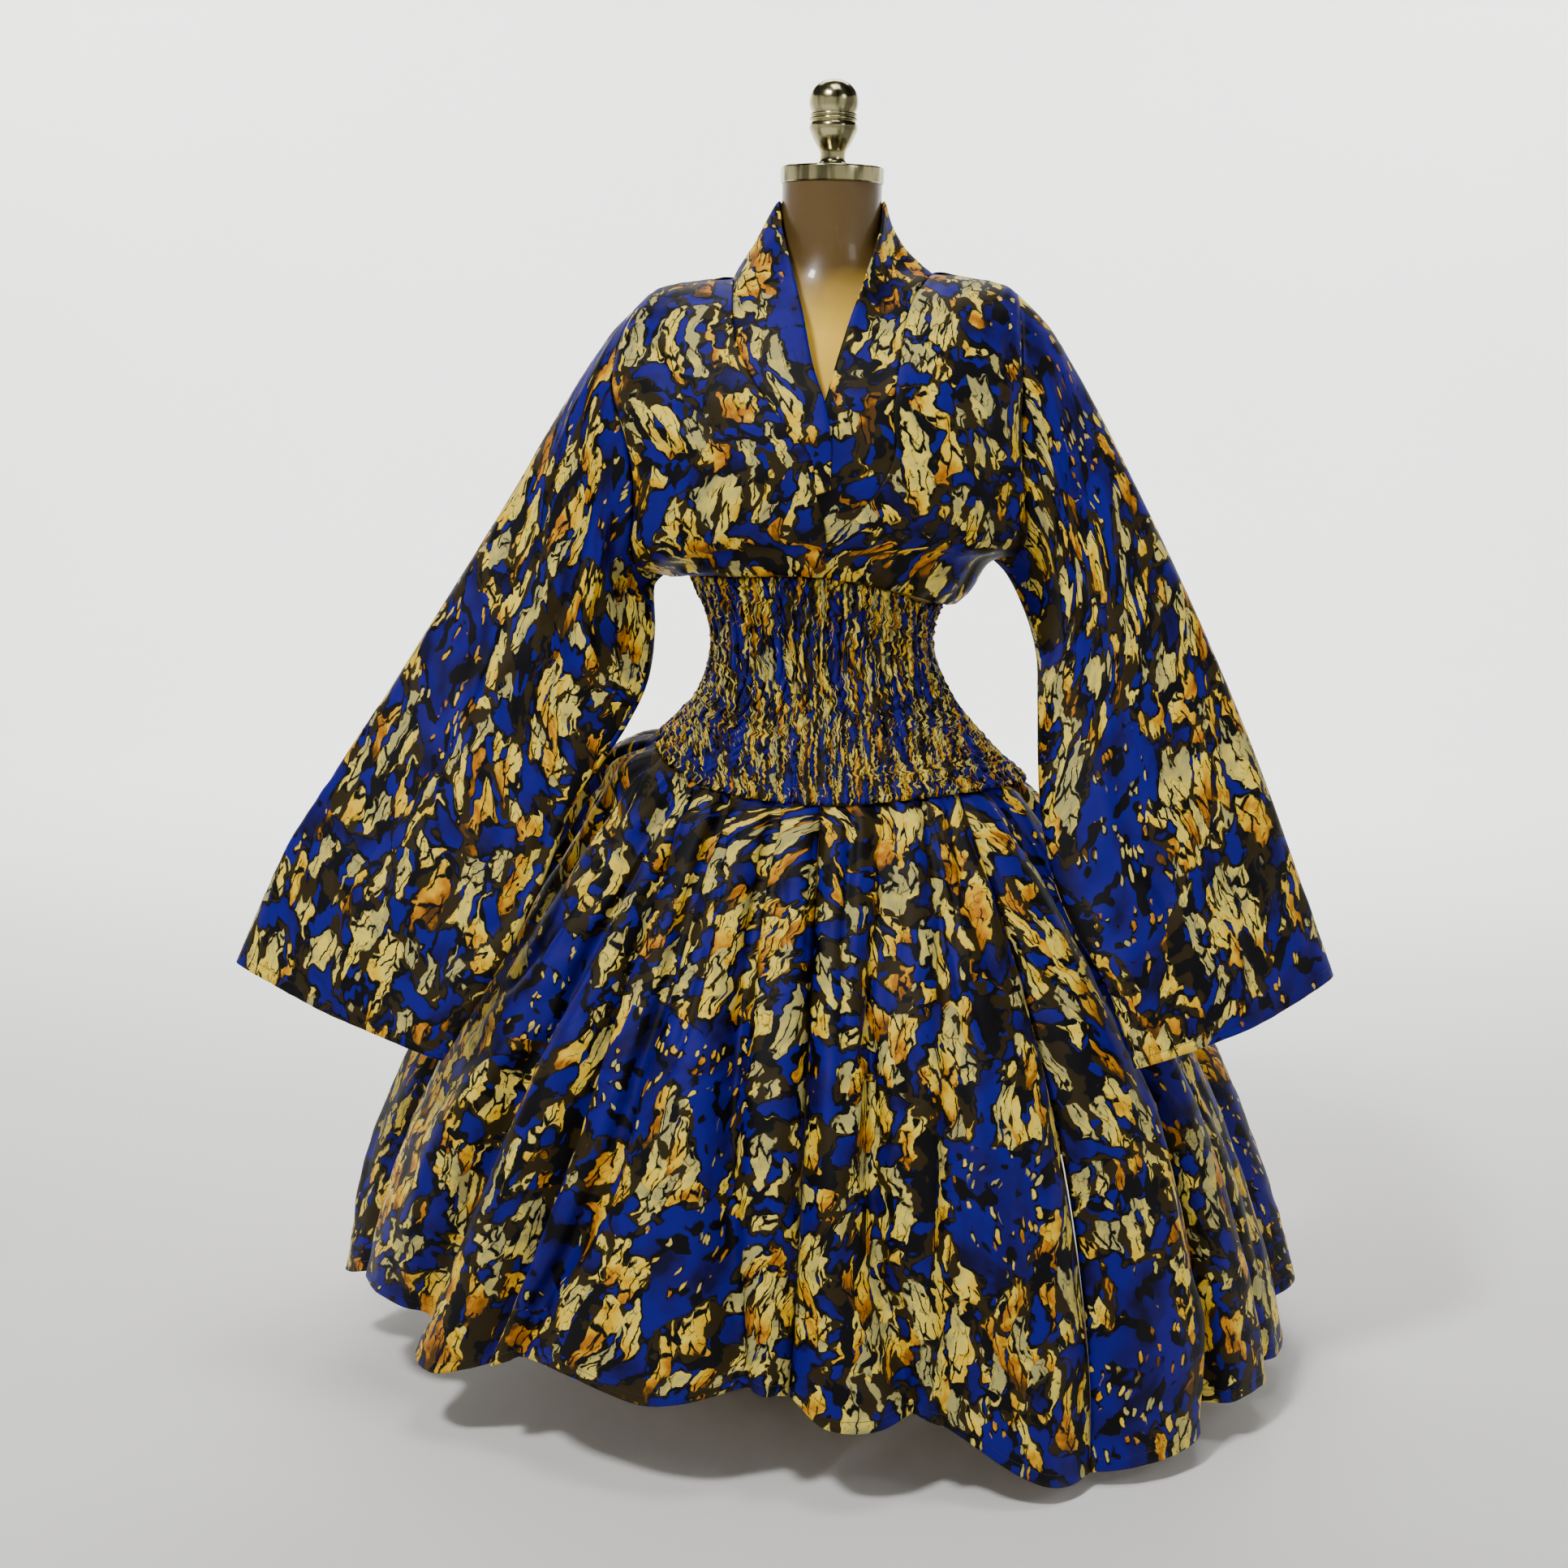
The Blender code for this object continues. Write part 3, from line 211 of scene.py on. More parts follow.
def solid_grid(node, outward):
    """Points of the outer face of a cloth solid, in rows from its top down, columns left to right from outside."""
    points, triangles = joined_mesh(node)
    faces = face_triangles(points, triangles, outward)
    near, angle, edges = {}, {}, set()
    for face in faces.tolist():
        for a, b, c in (face, face[1:] + face[:1], face[2:] + face[:2]):
            near.setdefault(a, set()).update((b, c))
            arm, other = points[b] - points[a], points[c] - points[a]
            cosine = arm @ other / (np.linalg.norm(arm) * np.linalg.norm(other))
            angle[a] = angle.get(a, 0.0) + math.acos(max(-1.0, min(1.0, cosine)))
            edges.add((a, b))
    following = {a: b for a, b in edges if (b, a) not in edges}
    ring = [min(following)]
    while len(ring) < len(following):
        ring.append(following[ring[-1]])
    half, total = len(ring) // 2 + 2, len(near)
    wide = round((half + math.sqrt(half * half - 4 * total)) / 2)
    best = None
    for step in (wide - 1, half - wide - 1):
        for first in range(len(ring) // 2):
            marks = [first, first + step, first + len(ring) // 2, first + step + len(ring) // 2]
            score = sum(angle[ring[mark % len(ring)]] for mark in marks)
            if best is None or score < best[0]:
                best = (score, marks)
    marks = best[1] + [best[1][0] + len(ring)]
    sides = [[ring[i % len(ring)] for i in range(marks[n], marks[n + 1] + 1)] for n in range(4)]
    top = max(range(4), key=lambda n: max(points[sides[n][0]][2], points[sides[n][-1]][2]) * 1e-3
              + points[sides[n]][:, 2].mean())
    row, edge = sides[top][::-1], sides[(top + 1) % 4]
    rows, used = [row], set(row)
    for first in edge[1:]:
        reach = set().union(*(near[point] for point in rows[-1])) - used
        row = [first]
        reach.discard(first)
        while reach & near[row[-1]]:
            row.append((reach & near[row[-1]]).pop())
            reach.discard(row[-1])
        rows.append(row)
        used.update(row)
    grid = points[np.array(rows)]
    turn = np.cross(grid[1:, :-1] - grid[:-1, :-1], grid[:-1, 1:] - grid[:-1, :-1]).sum(axis=(0, 1))
    return grid if turn @ np.array(outward) > 0 else grid[:, ::-1]


def arc(points, axis):
    """Length along a grid from its first row or column."""
    steps = np.linalg.norm(np.diff(points, axis=axis), axis=2)
    start = np.zeros_like(np.take(steps, [0], axis=axis))
    return np.concatenate([start, np.cumsum(steps, axis=axis)], axis=axis)


def finer(grid, spacing, columns_spacing=None):
    """The same surface on a finer grid, smooth through the points of the coarse one."""
    down, across = arc(grid, 0).mean(axis=1), arc(grid, 1).mean(axis=0)
    rows = max(4, round(arc(grid, 0)[-1].max() / spacing))
    columns = max(4, round(arc(grid, 1)[:, -1].max() / (columns_spacing or spacing)))
    by_row = spline_weights(down, np.linspace(0, down[-1], rows + 1))
    by_column = spline_weights(across, np.linspace(0, across[-1], columns + 1))
    return np.einsum("ri,ijk,cj->rck", by_row, grid, by_column)


def outward_of(grid):
    """Outward direction at each point of a grid."""
    across, down = np.gradient(grid, axis=1), np.gradient(grid, axis=0)
    direction = np.cross(down, across)
    return direction / np.maximum(np.linalg.norm(direction, axis=2, keepdims=True), 1e-12)


# Shaping the cloth

def crease_heights(grid, creases):
    """Heights of listed troughs and ridges, each steeper on one side than on the other."""
    rows, columns = grid.shape[:2]
    wide, long = arc(grid, 1)[:, -1].mean(), arc(grid, 0)[-1].mean()
    x, y = np.meshgrid(np.linspace(0, wide, columns), np.linspace(0, long, rows))
    total = np.zeros((rows, columns))
    for across_0, down_0, across_1, down_1, width, height in creases:
        start = np.array([across_0 * wide, down_0 * long]) / 100
        run = np.array([across_1 * wide, down_1 * long]) / 100 - start
        size = np.linalg.norm(run)
        run /= size
        along = ((x - start[0]) * run[0] + (y - start[1]) * run[1]) / size
        aside = (x - start[0]) * run[1] - (y - start[1]) * run[0]
        bent = aside + CREASE_BOW * size * np.sin(math.pi * np.clip(along, 0, 1)) * (1 if height > 0 else -1)
        fade = np.clip(1 - np.abs(2 * along - 1) ** 3, 0, 1)
        spread = np.where(bent > 0, CREASE_STEEP, CREASE_GENTLE) * width / 1000
        total += height / 1000 * fade * np.exp(-(bent / spread) ** 2)
    return total


def rumple(grid, size, height, seed):
    """Low uneven waves, as in cotton that has been worn and hung up."""
    rng = np.random.default_rng(seed)
    across, down = arc(grid, 1), arc(grid, 0)
    total = np.zeros(grid.shape[:2])
    for _ in range(RUMPLE_WAVES):
        turn = rng.uniform(0, math.pi)
        wave = 2 * math.pi / (size * rng.uniform(*RUMPLE_SPREAD))
        total += np.sin(wave * (across * math.cos(turn) + down * math.sin(turn)) + rng.uniform(0, 6.3))
    return height * total / math.sqrt(RUMPLE_WAVES)


def nearness(grid, sides, width):
    """1 at the named sides of a grid, falling to 0 within about twice the width from them."""
    across, down = arc(grid, 1), arc(grid, 0)
    away = {"left": across, "right": across[:, -1:] - across, "top": down, "bottom": down[-1:] - down}
    return np.minimum(sum((np.exp(-(away[side] / width) ** 2) for side in sides), np.zeros(grid.shape[:2])), 1.0)


def turned_under(grid, out, deep):
    """The grid with its last rows folded back up behind it, as a hem."""
    drop = arc(grid, 0)
    rows = int(np.sum(drop[-1].mean() - drop.mean(axis=1) < deep))
    behind = grid[-rows:][::-1] - out[-rows:][::-1] * HEM_GAP
    behind[0] += (grid[-1] - grid[-2]) * HEM_ROUND
    return np.concatenate([grid, behind])


def print_places(grid, across_scale, place):
    """Place of each point in the printed cloth, in metres: across from the piece's middle, and down."""
    across, down = arc(grid, 1), arc(grid, 0)
    middle = across[:, across.shape[1] // 2, None]
    drop = 0.5 * (down + down.mean(axis=1)[:, None])
    return np.stack([(across - middle) * across_scale + place[0], place[1] - drop], axis=2)


def linked(name, data):
    """New object of the scene with its data."""
    made = bpy.data.objects.new(name, data)
    bpy.context.collection.objects.link(made)
    return made


def fit(piece, material, slot, *nodes):
    """Give a piece its material and its place in the frame, where it stands for the named solids."""
    piece.data.materials.append(bpy.data.materials[material])
    if nodes:
        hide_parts(*nodes)
    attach(piece, "root")


def sheet_object(name, grid, places, thickness):
    """Object of a cloth sheet with a UV map in metres, its thickness turned inwards."""
    rows, columns = grid.shape[:2]
    index = np.arange(rows * columns).reshape(rows, columns)
    quads = np.stack([index[:-1, :-1], index[1:, :-1], index[1:, 1:], index[:-1, 1:]], axis=2).reshape(-1, 4)
    mesh = bpy.data.meshes.new(name)
    mesh.from_pydata(grid.reshape(-1, 3).tolist(), [], quads.tolist())
    layer = mesh.uv_layers.new(name="cloth")
    layer.uv.foreach_set("vector", places.reshape(-1, 2)[quads].astype(np.float32).ravel())
    mesh.shade_smooth()
    sheet = linked(name, mesh)
    deselect()
    bpy.context.view_layer.objects.active = sheet
    sheet.select_set(True)
    solid = sheet.modifiers.new("Thickness", "SOLIDIFY")
    solid.thickness = thickness
    solid.offset = -1.0
    bpy.ops.object.modifier_apply(modifier=solid.name)
    return sheet


def cloth_piece(node, grid, creases, place, held, sides=("left", "right", "top"), fold=(), hem=False, layers=1,
                across_scale=1.0, drawn_in=1.0, extra=0.0):
    """Finish one piece of cloth: its creases, seams, hem, thickness, print and place in the frame."""
    cloth = bpy.context.scene.dress_cloth
    name = node + "_cloth"
    out = outward_of(grid)
    wide, long = arc(grid, 1)[:, -1] * across_scale, arc(grid, 0)[-1] + (HEM_DROP if hem else 0.0)
    height = cloth.crease * (crease_heights(grid, creases) + rumple(grid, RUMPLE_SIZE, RUMPLE_HEIGHT, len(name)))
    beside = [side for side in sides if side != "top"]
    height = (height + extra) * (1 - nearness(grid, beside, SEAM_CALM))
    height -= SEAM_DEPTH * nearness(grid, sides, SEAM_WIDTH) + FOLD_DEPTH * nearness(grid, fold, FOLD_WIDTH)
    grid = grid + out * height[:, :, None]
    laid = grid
    if hem:
        out = outward_of(grid)
        inner = grid - out * SEAM_ALLOWANCE
        laid = np.concatenate([inner[:, :1], grid, inner[:, -1:]], axis=1)
        out = np.concatenate([out[:, :1], out, out[:, -1:]], axis=1)
        laid = turned_under(laid, out, HEM_DROP)
    places = print_places(laid, across_scale * drawn_in, place)
    piece = sheet_object(name, laid, places, cloth.thickness * layers)
    fit(piece, "wax_printed_cotton", "printed_cotton", node)
    area = wide.mean() * long.mean() if across_scale > 1 else sum(face.area for face in piece.data.polygons) / 2
    area = min(wide.max() * long.max(), area)
    return grid


def lay_pieces(pieces, held, spacing=1.0, shape=None, **finish):
    """Finish each piece of a table on its solid, with gathers from the shape, and return the grids."""
    grids = []
    for node, (outward, place, creases) in pieces.items():
        grid = finer(solid_grid(node, outward), spacing * bpy.context.scene.dress_cloth.spacing)
        extra = shape(grid, place) if shape else 0.0
        grids.append(cloth_piece(node, grid, creases, place, held, extra=extra, **finish))
    return grids


# Materials

def wire(node, inputs):
    """Set inputs of a node, each to a value or to a link from a socket or from another node's first output."""
    for name, value in inputs.items():
        if isinstance(value, bpy.types.Node):
            value = value.outputs[0]
        if isinstance(value, bpy.types.NodeSocket):
            node.id_data.links.new(value, node.inputs[name])
        else:
            node.inputs[name].default_value = value


def put(tree, kind, inputs=None, stops=(), **settings):
    """Add a node with its settings, its inputs and its ramp's stops."""
    made = tree.nodes.new("ShaderNode" + kind)
    for name, value in settings.items():
        setattr(made, name, value)
    wire(made, inputs or {})
    while stops and len(made.color_ramp.elements) < len(stops):
        made.color_ramp.elements.new(1.0)
    for i, (position, shade) in enumerate(stops):
        made.color_ramp.elements[i].position = position
        made.color_ramp.elements[i].color = (*shade, 1.0)
    return made


def new_material(name):
    """Node tree and shader of a new material."""
    made = bpy.data.materials.new(name)
    made.use_nodes = True
    return made.node_tree, made.node_tree.nodes["Principled BSDF"]


def cotton_material():
    """Wax-printed cotton: resist-dyed leaves on blue, crisp and a little glossy from its finish."""
    cloth = bpy.context.scene.dress_cloth
    tree, shader = new_material("wax_printed_cotton")
    add = partial(put, tree)
    flat = add("UVMap", uv_map="cloth")

    def printed(base, dye, *edges):
        """The dye laid over the base where each value is past its edge, given as value, start and end."""
        share = 1.0
        for value, start, end in edges:
            past = add("MapRange", {0: value, 1: start, 2: end}, clamp=True)
            share = add("Math", {0: share, 1: past}, operation="MULTIPLY")
        base, dye = (shade if isinstance(shade, (bpy.types.Node, bpy.types.NodeSocket)) else (*shade, 1.0)
                     for shade in (base, dye))
        return add("Mix", {0: share, 6: base, 7: dye}, data_type="RGBA").outputs[2]

    def cells(*lays, feature="F1"):
        """Place among the cells of the print, and what is known there.

        A lay is a source, the width, height and angle of its cells, and the edge past which it takes over.
        """
        place = None
        for source, wide, tall, angle, *edge in lays:
            turned = add("Mapping", {"Vector": source, "Rotation": (0, 0, math.radians(angle)),
                                     "Scale": (1 / wide, 1 / tall, 1)})
            place = turned if place is None else printed(place, turned, *edge)
        return place, add("TexVoronoi", {"Vector": place, "Scale": 1.0, "Randomness": 0.9},
                          voronoi_dimensions="2D", feature=feature).outputs

    # wax cracks and dye runs bend every line of the print, in gentle sweeps, in ragged steps and in finer ones
    bent = [flat]
    for size, amount, detail in ((0.070, 0.022, 0.0), (0.0125, 0.0080, 3.0), (0.004, 0.003, 1.0)):
        stir = add("TexNoise", {"Vector": bent[-1], "Scale": 1 / size, "Detail": detail}, noise_dimensions="2D")
        stir = add("VectorMath", {0: stir.outputs["Color"], 1: (0.5, 0.5, 0.5)}, operation="SUBTRACT")
        bent.append(add("VectorMath", {0: stir, 1: (amount, amount, 0), 2: bent[-1]}, operation="MULTIPLY_ADD"))
    swept, ragged, frayed = bent[1:]

    # how well wax and dye took from place to place, in clouds of several sizes
    runs, drift, blots, heat, partings, specks, dryness = (
        add("TexNoise", {"Vector": source, "Scale": 1 / size, "Detail": detail}, noise_dimensions="2D")
        for source, size, detail in ((swept, 0.050, 3.0), (ragged, 0.030, 2.0), (ragged, 0.024, 1.0),
                                     (ragged, 0.016, 2.0), (ragged, 0.018, 1.0), (ragged, 0.030, 1.0),
                                     (ragged, 0.014, 1.0)))

    # groups of leaves, each with its own lay of the leaves, one of four
    groups = (ragged, cloth.cluster * 0.75, cloth.cluster, 10)
    lay = add("SeparateColor", {0: cells(groups)[1]["Color"]}).outputs
    border = cells(groups, feature="DISTANCE_TO_EDGE")[1]["Distance"]
    lays = [(ragged, cloth.leaf_width * size, cloth.leaf_length * size, angle, *edge) for size, angle, *edge in (
        (0.9, 6), (1.1, 38, (lay[0], 0.45, 0.4501)), (1.0, -34, (lay[0], 0.70, 0.7001)),
        (0.6, 12, (lay[1], 0.74, 0.7401)))]
    place, leaves = cells(*lays)
    gap = cells(*lays, feature="DISTANCE_TO_EDGE")[1]["Distance"]
    hues = add("SeparateColor", {0: leaves["Color"]}).outputs
    along = add("VectorMath", {0: place, 1: leaves["Position"]}, operation="SUBTRACT")
    along = add("SeparateXYZ", {0: along}).outputs[1]

    # sums of weighted values: how far inside a group, how far inside a leaf, and how warm the leaf is there
    sums = []
    for total, *terms in ((-0.375, (border, 1.0), (drift, 0.75)),
                          (0.075, (gap, 1.0), (partings, -0.52), (lay[1], 0.16)),
                          (0.0, (hues[0], 0.59), (heat, 0.56), (along, 0.36))):
        for value, weight in terms:
            total = add("Math", {0: value, 1: weight, 2: total}, operation="MULTIPLY_ADD")
        sums.append(total)
    inside, leafy, warmth = sums

    # each leaf runs from cream at its tip to orange at its foot, some further than others
    leaf = add("ValToRGB", {0: warmth}, [
        (0.12, cloth.rust), (0.30, cloth.ochre), (0.45, cloth.straw), (0.60, cloth.cream), (0.84, cloth.stone)])
    bed = printed(cloth.navy, cloth.blue, (blots, 0.50, 0.48), (leafy, -0.055, -0.065))
    bed = printed(bed, cloth.olive, (drift, 0.55, 0.57))
    brown = printed(cloth.olive, cloth.rust, (drift, 0.45, 0.55))

    # the edges that several layers share; one group in six is left out, so that larger patches of ground show
    full = (lay[2], 0.15, 0.1501)
    grouped = ((inside, 0.080, 0.088), full)
    on_leaf = (*grouped, (leafy, 0.0, 0.02), (hues[1], 0.11, 0.1101))
    fleck = cells((ragged, 0.0060, 0.0150, 14))[1]
    flecked = ((add("SeparateColor", {0: fleck["Color"]}).outputs[1], 0.66, 0.67), (specks, 0.50, 0.54))
    crack = cells((frayed, 0.0060, 0.0150, 4), feature="DISTANCE_TO_EDGE")[1]["Distance"]
    vein = cells((ragged, 0.0100, 0.0350, -8), feature="DISTANCE_TO_EDGE")[1]["Distance"]

    shade = cloth.blue
    for dye, *edges in (
            # the ground has darker runs and blots
            (cloth.deep_blue, (runs, 0.45, 0.72)),
            (cloth.navy, (blots, 0.58, 0.60), (inside, -0.04, 0.0)),
            # flecks where the wax held in specks, each in its dark ring
            (cloth.navy, (fleck["Distance"], 0.58, 0.48), *flecked),
            (leaf, (fleck["Distance"], 0.34, 0.27), *flecked),
            # each group has an olive halo in a navy line, then its bed with the leaves on it
            (cloth.navy, (inside, 0.004, 0.012), full),
            (cloth.olive, (inside, 0.030, 0.038), (drift, 0.45, 0.47), full),
            (bed, *grouped),
            (leaf, *on_leaf),
            # some leaves have fine brown cracks, at 0.85 of their full strength, and dark veins
            (brown, (crack, 0.075, 0.02), (dryness, 0.50, 0.56), (0.85, 0.0, 1.0), *on_leaf),
            (cloth.navy, (vein, 0.095, 0.055), (blots, 0.43, 0.47), *on_leaf)):
        shade = printed(shade, dye, *edges)

    # plain weave, a bump that takes the gloss off the print
    weave = 1.0
    for side in add("SeparateXYZ", {0: flat}).outputs[:2]:
        wave = add("Math", {0: side, 1: 2 * math.pi / WEAVE}, operation="MULTIPLY")
        wave = add("Math", {0: wave}, operation="SINE")
        weave = add("Math", {0: weave, 1: wave}, operation="MULTIPLY")
    bump = add("Bump", {"Strength": 0.25, "Distance": 0.0002, "Height": weave})
    wire(shader, {"Base Color": shade, "Normal": bump, "Roughness": 0.52, "Specular IOR Level": 0.15})


def clouded_material(name, stops, clouds, finish, strength=0.0, depth=0.0):
    """Material tinted by its first cloud and dented by its second, a cloud being its size in metres and detail."""
    tree, shader = new_material(name)
    place = put(tree, "TexCoord").outputs["Object"]
    fields = []
    for size, detail in clouds:
        spread = put(tree, "Mapping", {"Vector": place, "Scale": 1 / np.broadcast_to(size, 3)})
        fields.append(put(tree, "TexNoise", {"Vector": spread, "Scale": 1.0, "Detail": detail}))
    tint = put(tree, "ValToRGB", {0: fields[0]}, stops)
    wire(shader, {"Base Color": tint, **finish})
    if strength:
        bump = put(tree, "Bump", {"Strength": strength, "Distance": depth, "Height": fields[1]})
        wire(shader, {"Normal": bump})
    return tree, shader, place, tint, fields


def plain_finishes():
    """Thread, lacquer, brass, paint and paper."""
    cloth, look, studio = (getattr(bpy.context.scene, name) for name in SETTINGS)

    # polyester sewing thread, twisted, a little shinier than the cotton
    clouded_material("twisted_polyester_thread", [(0.3, cloth.navy), (0.7, cloth.deep_blue)], [(0.0006, 1.0)],
                     {"Roughness": 0.45, "Sheen Weight": 0.1})

    # blow-moulded shell sprayed with amber lacquer: deep gloss, an orange-peel skin of 3 mm ripples, a painted
    # highlight pale on the chest and painted dark reflection on the neck, changing between two heights that clouds
    # move by up to 30 mm
    tree, _, place, tint, clouds = clouded_material(
        "lacquered_moulded_shell", [(0.0, look.chest_highlight), (1.0, look.neck)], [(0.05, 2.0), (0.003, 1.0)],
        {"Roughness": 0.34, "Specular IOR Level": 0.3, "Coat Weight": 0.25, "Coat Roughness": 0.07}, 0.12, 0.0003)
    height = put(tree, "SeparateXYZ", {0: place}).outputs[2]
    drift = put(tree, "Math", {0: clouds[0], 1: 0.03, 2: height}, operation="MULTIPLY_ADD")
    # colour by height: painted highlight on the chest, fading into painted dark reflection on the neck
    wire(tint, {0: put(tree, "MapRange", {0: drift, 1: 1.060, 2: 1.130}, clamp=True)})

    # brass turned, polished and clear lacquered: a pale greenish gold darkened in streaks as painted dark
    # reflection,
    # 9 mm dents, and turning lines 0.4 mm apart
    tree, shader, _, _, clouds = clouded_material(
        "polished_turned_brass", [(0.40, [0.30 * part for part in look.brass]), (0.56, look.brass)],
        [((1 / 90, 1 / 90, 1 / 14), 2.0), (0.009, 1.0), ((0.025, 0.025, 0.0004), 2.0)],
        {"Metallic": 1.0}, 0.5, 0.0006)
    wire(shader, {"Roughness": put(tree, "MapRange", {0: clouds[2], 3: 0.12, 4: 0.26})})

    # powder-coated steel, satin black with a fine grain of 1.2 mm, worn lighter in faint scuffs
    clouded_material("powder_coated_steel", [(0.45, look.stand), (0.75, [part + 0.03 for part in look.stand])],
                     [(0.03, 4.0), (0.0012, 2.0)], {"Roughness": 0.42}, 0.2, 0.0002)

    # seamless background paper, matt, a shade duller in wide clouds
    clouded_material("matt_paper_sweep", [(0.3, [0.985 * part for part in studio.floor]), (0.7, studio.floor)],
                     [(0.4, 3.0)], {"Roughness": 0.9})


# Modelling by operators

def deselect():
    """Leave edit mode with nothing selected."""
    if bpy.context.object and bpy.context.object.mode != "OBJECT":
        bpy.ops.object.mode_set(mode="OBJECT")
    bpy.ops.object.select_all(action="DESELECT")


def smooth_outline(start, stretches, steps, bottom=0.0):
    """Radii and heights in metres from ones in mm: smooth along each stretch, sharp where two stretches meet."""
    outline = [np.array(start) / 1000]
    for stretch in stretches:
        points = np.array([outline[-1] * 1000, *stretch]) / 1000
        along = np.concatenate([[0], np.cumsum(np.linalg.norm(np.diff(points, axis=0), axis=1))])
        count = 2 if len(points) == 2 else steps + 1
        outline += list((spline_weights(along, np.linspace(0, along[-1], count)) @ points)[1:])
    return [(wide, bottom + height) for wide, height in outline]


def raised_rings(name, outline, segments):
    """New piece: a filled circle, extruded and resized ring by ring, left in edit mode with its top selected."""
    deselect()
    radius, height = outline[0]
    bpy.ops.mesh.primitive_circle_add(vertices=segments, radius=radius, fill_type="NGON", location=(0, 0, height))
    piece = bpy.context.object
    piece.name = piece.data.name = name
    bpy.ops.object.mode_set(mode="EDIT")
    bpy.ops.mesh.select_all(action="SELECT")
    for wide, top in outline[1:]:
        bpy.ops.mesh.extrude_region_move(TRANSFORM_OT_translate={"value": (0, 0, top - height)})
        bpy.ops.transform.resize(value=(wide / radius, wide / radius, 1), center_override=(0, 0, top))
        radius, height = wide, top
    return piece


def finish_hard(piece, node, material, slot, crisp, bevel=0.0):
    """Turn the edited piece's faces outwards, round its edges, smooth it below an angle and fit it."""
    bpy.ops.mesh.select_all(action="SELECT")
    bpy.ops.mesh.normals_make_consistent(inside=False)
    bpy.ops.object.mode_set(mode="OBJECT")
    if bevel:
        rounded = piece.modifiers.new("Rounded edges", "BEVEL")
        rounded.width, rounded.segments, rounded.angle_limit = bevel, 3, math.radians(40)
        bpy.ops.object.modifier_apply(modifier=rounded.name)
    bpy.ops.object.transform_apply(location=True, rotation=True, scale=True)
    bpy.ops.object.shade_smooth_by_angle(angle=math.radians(crisp))
    fit(piece, material, slot, node)


def stitch_template():
    """One stitch: a six-sided bead of thread along X, 1 m long and 1 m thick before it is placed."""
    deselect()
    bpy.ops.mesh.primitive_cylinder_add(vertices=6, radius=0.5, depth=1.0, end_fill_type="NGON",
                                        rotation=(0, math.pi / 2, 0))
    stitch = bpy.context.object
    bpy.ops.object.transform_apply(location=True, rotation=True, scale=True)
    mesh = stitch.data
    points = np.array([vertex.co[:] for vertex in mesh.vertices])
    faces = [list(polygon.vertices) for polygon in mesh.polygons]
    bpy.data.meshes.remove(mesh)  # takes its object with it
    return points, faces


def stitch_lines(name, lines, pitch):
    """Rows of stitches along lines of points that lie on the cloth, each line with its outward directions."""
    thread = bpy.context.scene.dress_cloth.thread
    bead, bead_faces = stitch_template()
    points, faces = [], []
    for line, out in lines:
        along = np.concatenate([[0], np.cumsum(np.linalg.norm(np.diff(line, axis=0), axis=1))])
        starts = np.arange(0.5 * pitch, along[-1] - pitch, pitch)
        a, b, up = (np.stack([np.interp(at, along, track[:, i]) for i in range(3)], axis=1)
                    for at, track in ((starts, line), (starts + STITCH_SHOWN * pitch, line), (starts, out)))
        size = np.linalg.norm(b - a, axis=1, keepdims=True)
        run = (b - a) / np.maximum(size, 1e-9)
        aside = np.cross(up, run)
        up = np.cross(run, aside)
        middle = 0.5 * (a + b) + up * thread * STITCH_LIFT
        for i in range(len(starts)):
            first = len(points) * len(bead)
            points.append(middle[i] + bead * (size[i, 0], thread, thread) @ np.array([run[i], aside[i], up[i]]))
            faces += [[first + corner for corner in face] for face in bead_faces]
    mesh = bpy.data.meshes.new(name)
    mesh.from_pydata(np.concatenate(points).tolist(), [], faces)
    mesh.shade_smooth()
    fit(linked(name, mesh), "twisted_polyester_thread", "printed_cotton")


def row_above_edge(grid):
    """The row of a hemmed grid that its stitches follow, with its outward directions."""
    down = arc(grid, 0)
    row = int(np.argmin(np.abs(down[-1].mean() - down.mean(axis=1) - HEM_DROP * HEM_STITCHES)))
    return grid[row], outward_of(grid)[row]


# The pieces. A crease is how far across and down it starts and ends, in percent, its width and height in mm

